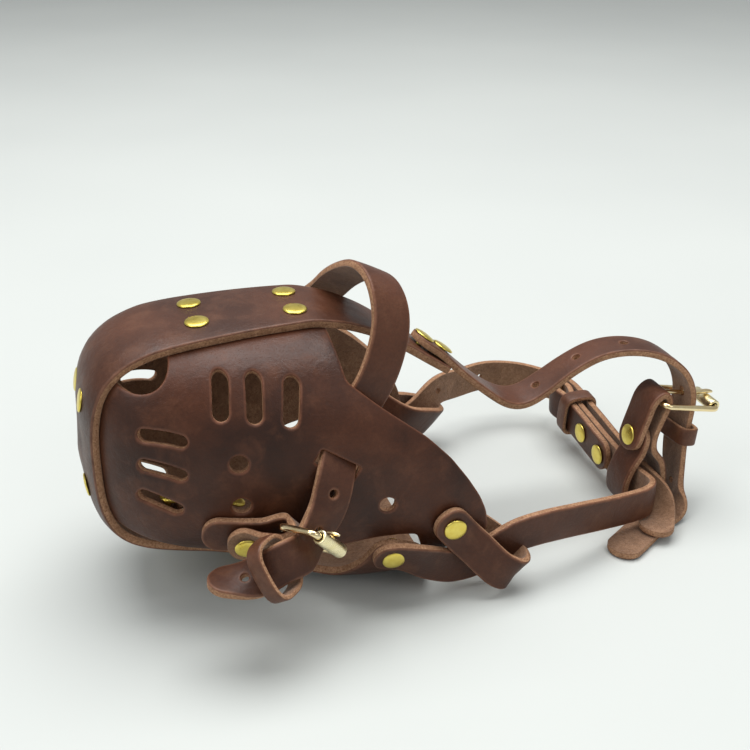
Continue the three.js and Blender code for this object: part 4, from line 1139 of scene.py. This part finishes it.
RIVET_Y = 9.0
TOP_RIVETS, CHIN_RIVETS = (-40, -2.5), (-56, -28)
NOSE_RIVETS = ((86, (-0.97, 0, 0.24), -5.1, 1.3), (50, (-0.99, 0, -0.12), -3.8, 3.0))
FOREHEAD_RIVETS = (49.5, 58)
NECK_RIVETS = (-2, 15)
for side, label in ((-1, "near"), (1, "far")):
    for i, x in enumerate(TOP_RIVETS):
        phi = float(phi_of_y(x, RIVET_Y))
        rivet(f"top_rivet_{i + 1}_{label}", basket_point(x, phi, side), basket_normal(x, phi, side),
              -LEATHER, LEATHER + GAP)
    for i, x in enumerate(CHIN_RIVETS):
        phi = float(phi_of_y(x, RIVET_Y, True))
        rivet(f"chin_rivet_{i + 1}_{label}", basket_point(x, phi, side), basket_normal(x, phi, side),
              -LEATHER, LEATHER + GAP)
    for i, (z, axis, inner, outer) in enumerate(NOSE_RIVETS):
        rivet(f"nose_rivet_{i + 1}_{label}", (PANEL_FRONT, side * RIVET_Y, z), axis, inner, outer)


def side_rivet(name, x, z, side, inner, outer):
    phi = float(phi_at(x, z))
    rivet(name, basket_point(x, phi, side), basket_normal(x, phi, side), inner, outer)


side_rivet("loop_rivet_near", *LOOP_RIVET, -1, LOOP_IN - 2.4, LOOP_OUT + 2)
side_rivet("loop_rivet_far", *LOOP_RIVET, 1, LOOP_IN - 2.4, LOOP_OUT + 2)
side_rivet("cheek_rivet_near", *CHIN_RIVET, -1, GAP, CHIN_OUT + 1.5)
side_rivet("cheek_rivet_far", *CHIN_RIVET, 1, GAP, CHIN_OUT + 1.5)
side_rivet("nose_tab_rivet", -33, 41, -1, -LEATHER, 8)
side_rivet("nose_strap_rivet", 5, 81, 1, LOOP_IN - LEATHER / 2, 0)
for i, x in enumerate(FOREHEAD_RIVETS):
    axis = basket_normal(float(x), 0.0, -1) * np.array([1, 0, 1])
    rivet(f"forehead_rivet_{i + 1}", on_top(x, 0), axis, GAP, FOREHEAD_OUT + LEATHER / 2 + 0.1)
for i, y in enumerate(NECK_RIVETS):
    rivet(f"neck_rivet_{i + 1}", (144.3, y, 16.7 + 0.13 * y), (-1, 0, 0), -3.6, 3.6)
rivet("tab_rivet", (149.1, -20.6, 36), (-1, 0, 0.16), -5.6, 5.3)

for label, spec in BUCKLES.items():
    buckle(label, **spec)

# ---------------- stage, lights and camera

FLOOR_HALF = 5
OBJECT_MIDDLE = (0.0, 0.0, 0.05)
CAMERA_PLACE = (-0.11446, -0.37924, 0.27700)
CAMERA_LOOK = (0.2753, 0.8474, -0.4540)


def stage_floor():
    mesh = bpy.data.meshes.new("floor")
    corners = [(-1, -1), (1, -1), (1, 1), (-1, 1)]
    mesh.from_pydata([(x * FLOOR_HALF, y * FLOOR_HALF, 0) for x, y in corners], [], [(0, 1, 2, 3)])
    floor = add_object("floor", mesh)
    material, tree = node_tree("floor_paper")
    n = Nodes(tree)
    at = n.coords()
    shade = n.mix(n.span(n.noise(at, 3, 2), 0.3, 0.7), (0.585, 0.61, 0.588), (0.615, 0.64, 0.615))
    n.surface(Base_Color=shade, Roughness=0.55, Specular_IOR_Level=0.3)
    mesh.materials.append(material)


def area_light(name, place, size, power):
    lamp = bpy.data.lights.new(name, "AREA")
    lamp.shape = "RECTANGLE"
    lamp.size, lamp.size_y = size
    lamp.energy = power
    light = add_object(name, lamp)
    light.location = place
    light.rotation_mode = "QUATERNION"
    light.rotation_quaternion = (Vector(OBJECT_MIDDLE) - Vector(place)).to_track_quat("-Z", "Y")


stage_floor()
area_light("overhead", (0.05, 0.3, 1.4), size=(1.5, 1.0), power=25)
area_light("left_fill", (-1.2, -0.3, 1.1), size=(0.8, 0.8), power=5)
area_light("front_fill", (0.6, -1.3, 1.1), size=(0.9, 0.6), power=3)

world = bpy.data.worlds.new("studio")
bpy.context.scene.world = world
world.use_nodes = True
background = world.node_tree.nodes["Background"]
background.inputs["Color"].default_value = (0.97, 0.99, 1.0, 1)
background.inputs["Strength"].default_value = 0.40
bpy.context.scene.view_settings.view_transform = "Standard"

camera_data = bpy.data.cameras.new("camera")
camera_data.sensor_width = 36
camera_data.lens = 51.84
camera_data.clip_start = 0.01
camera_data.clip_end = 50
camera = add_object("camera", camera_data)
camera.location = CAMERA_PLACE
camera.rotation_mode = "QUATERNION"
camera.rotation_quaternion = Vector(CAMERA_LOOK).to_track_quat("-Z", "Y")
bpy.context.scene.camera = camera

bpy.context.view_layer.update()
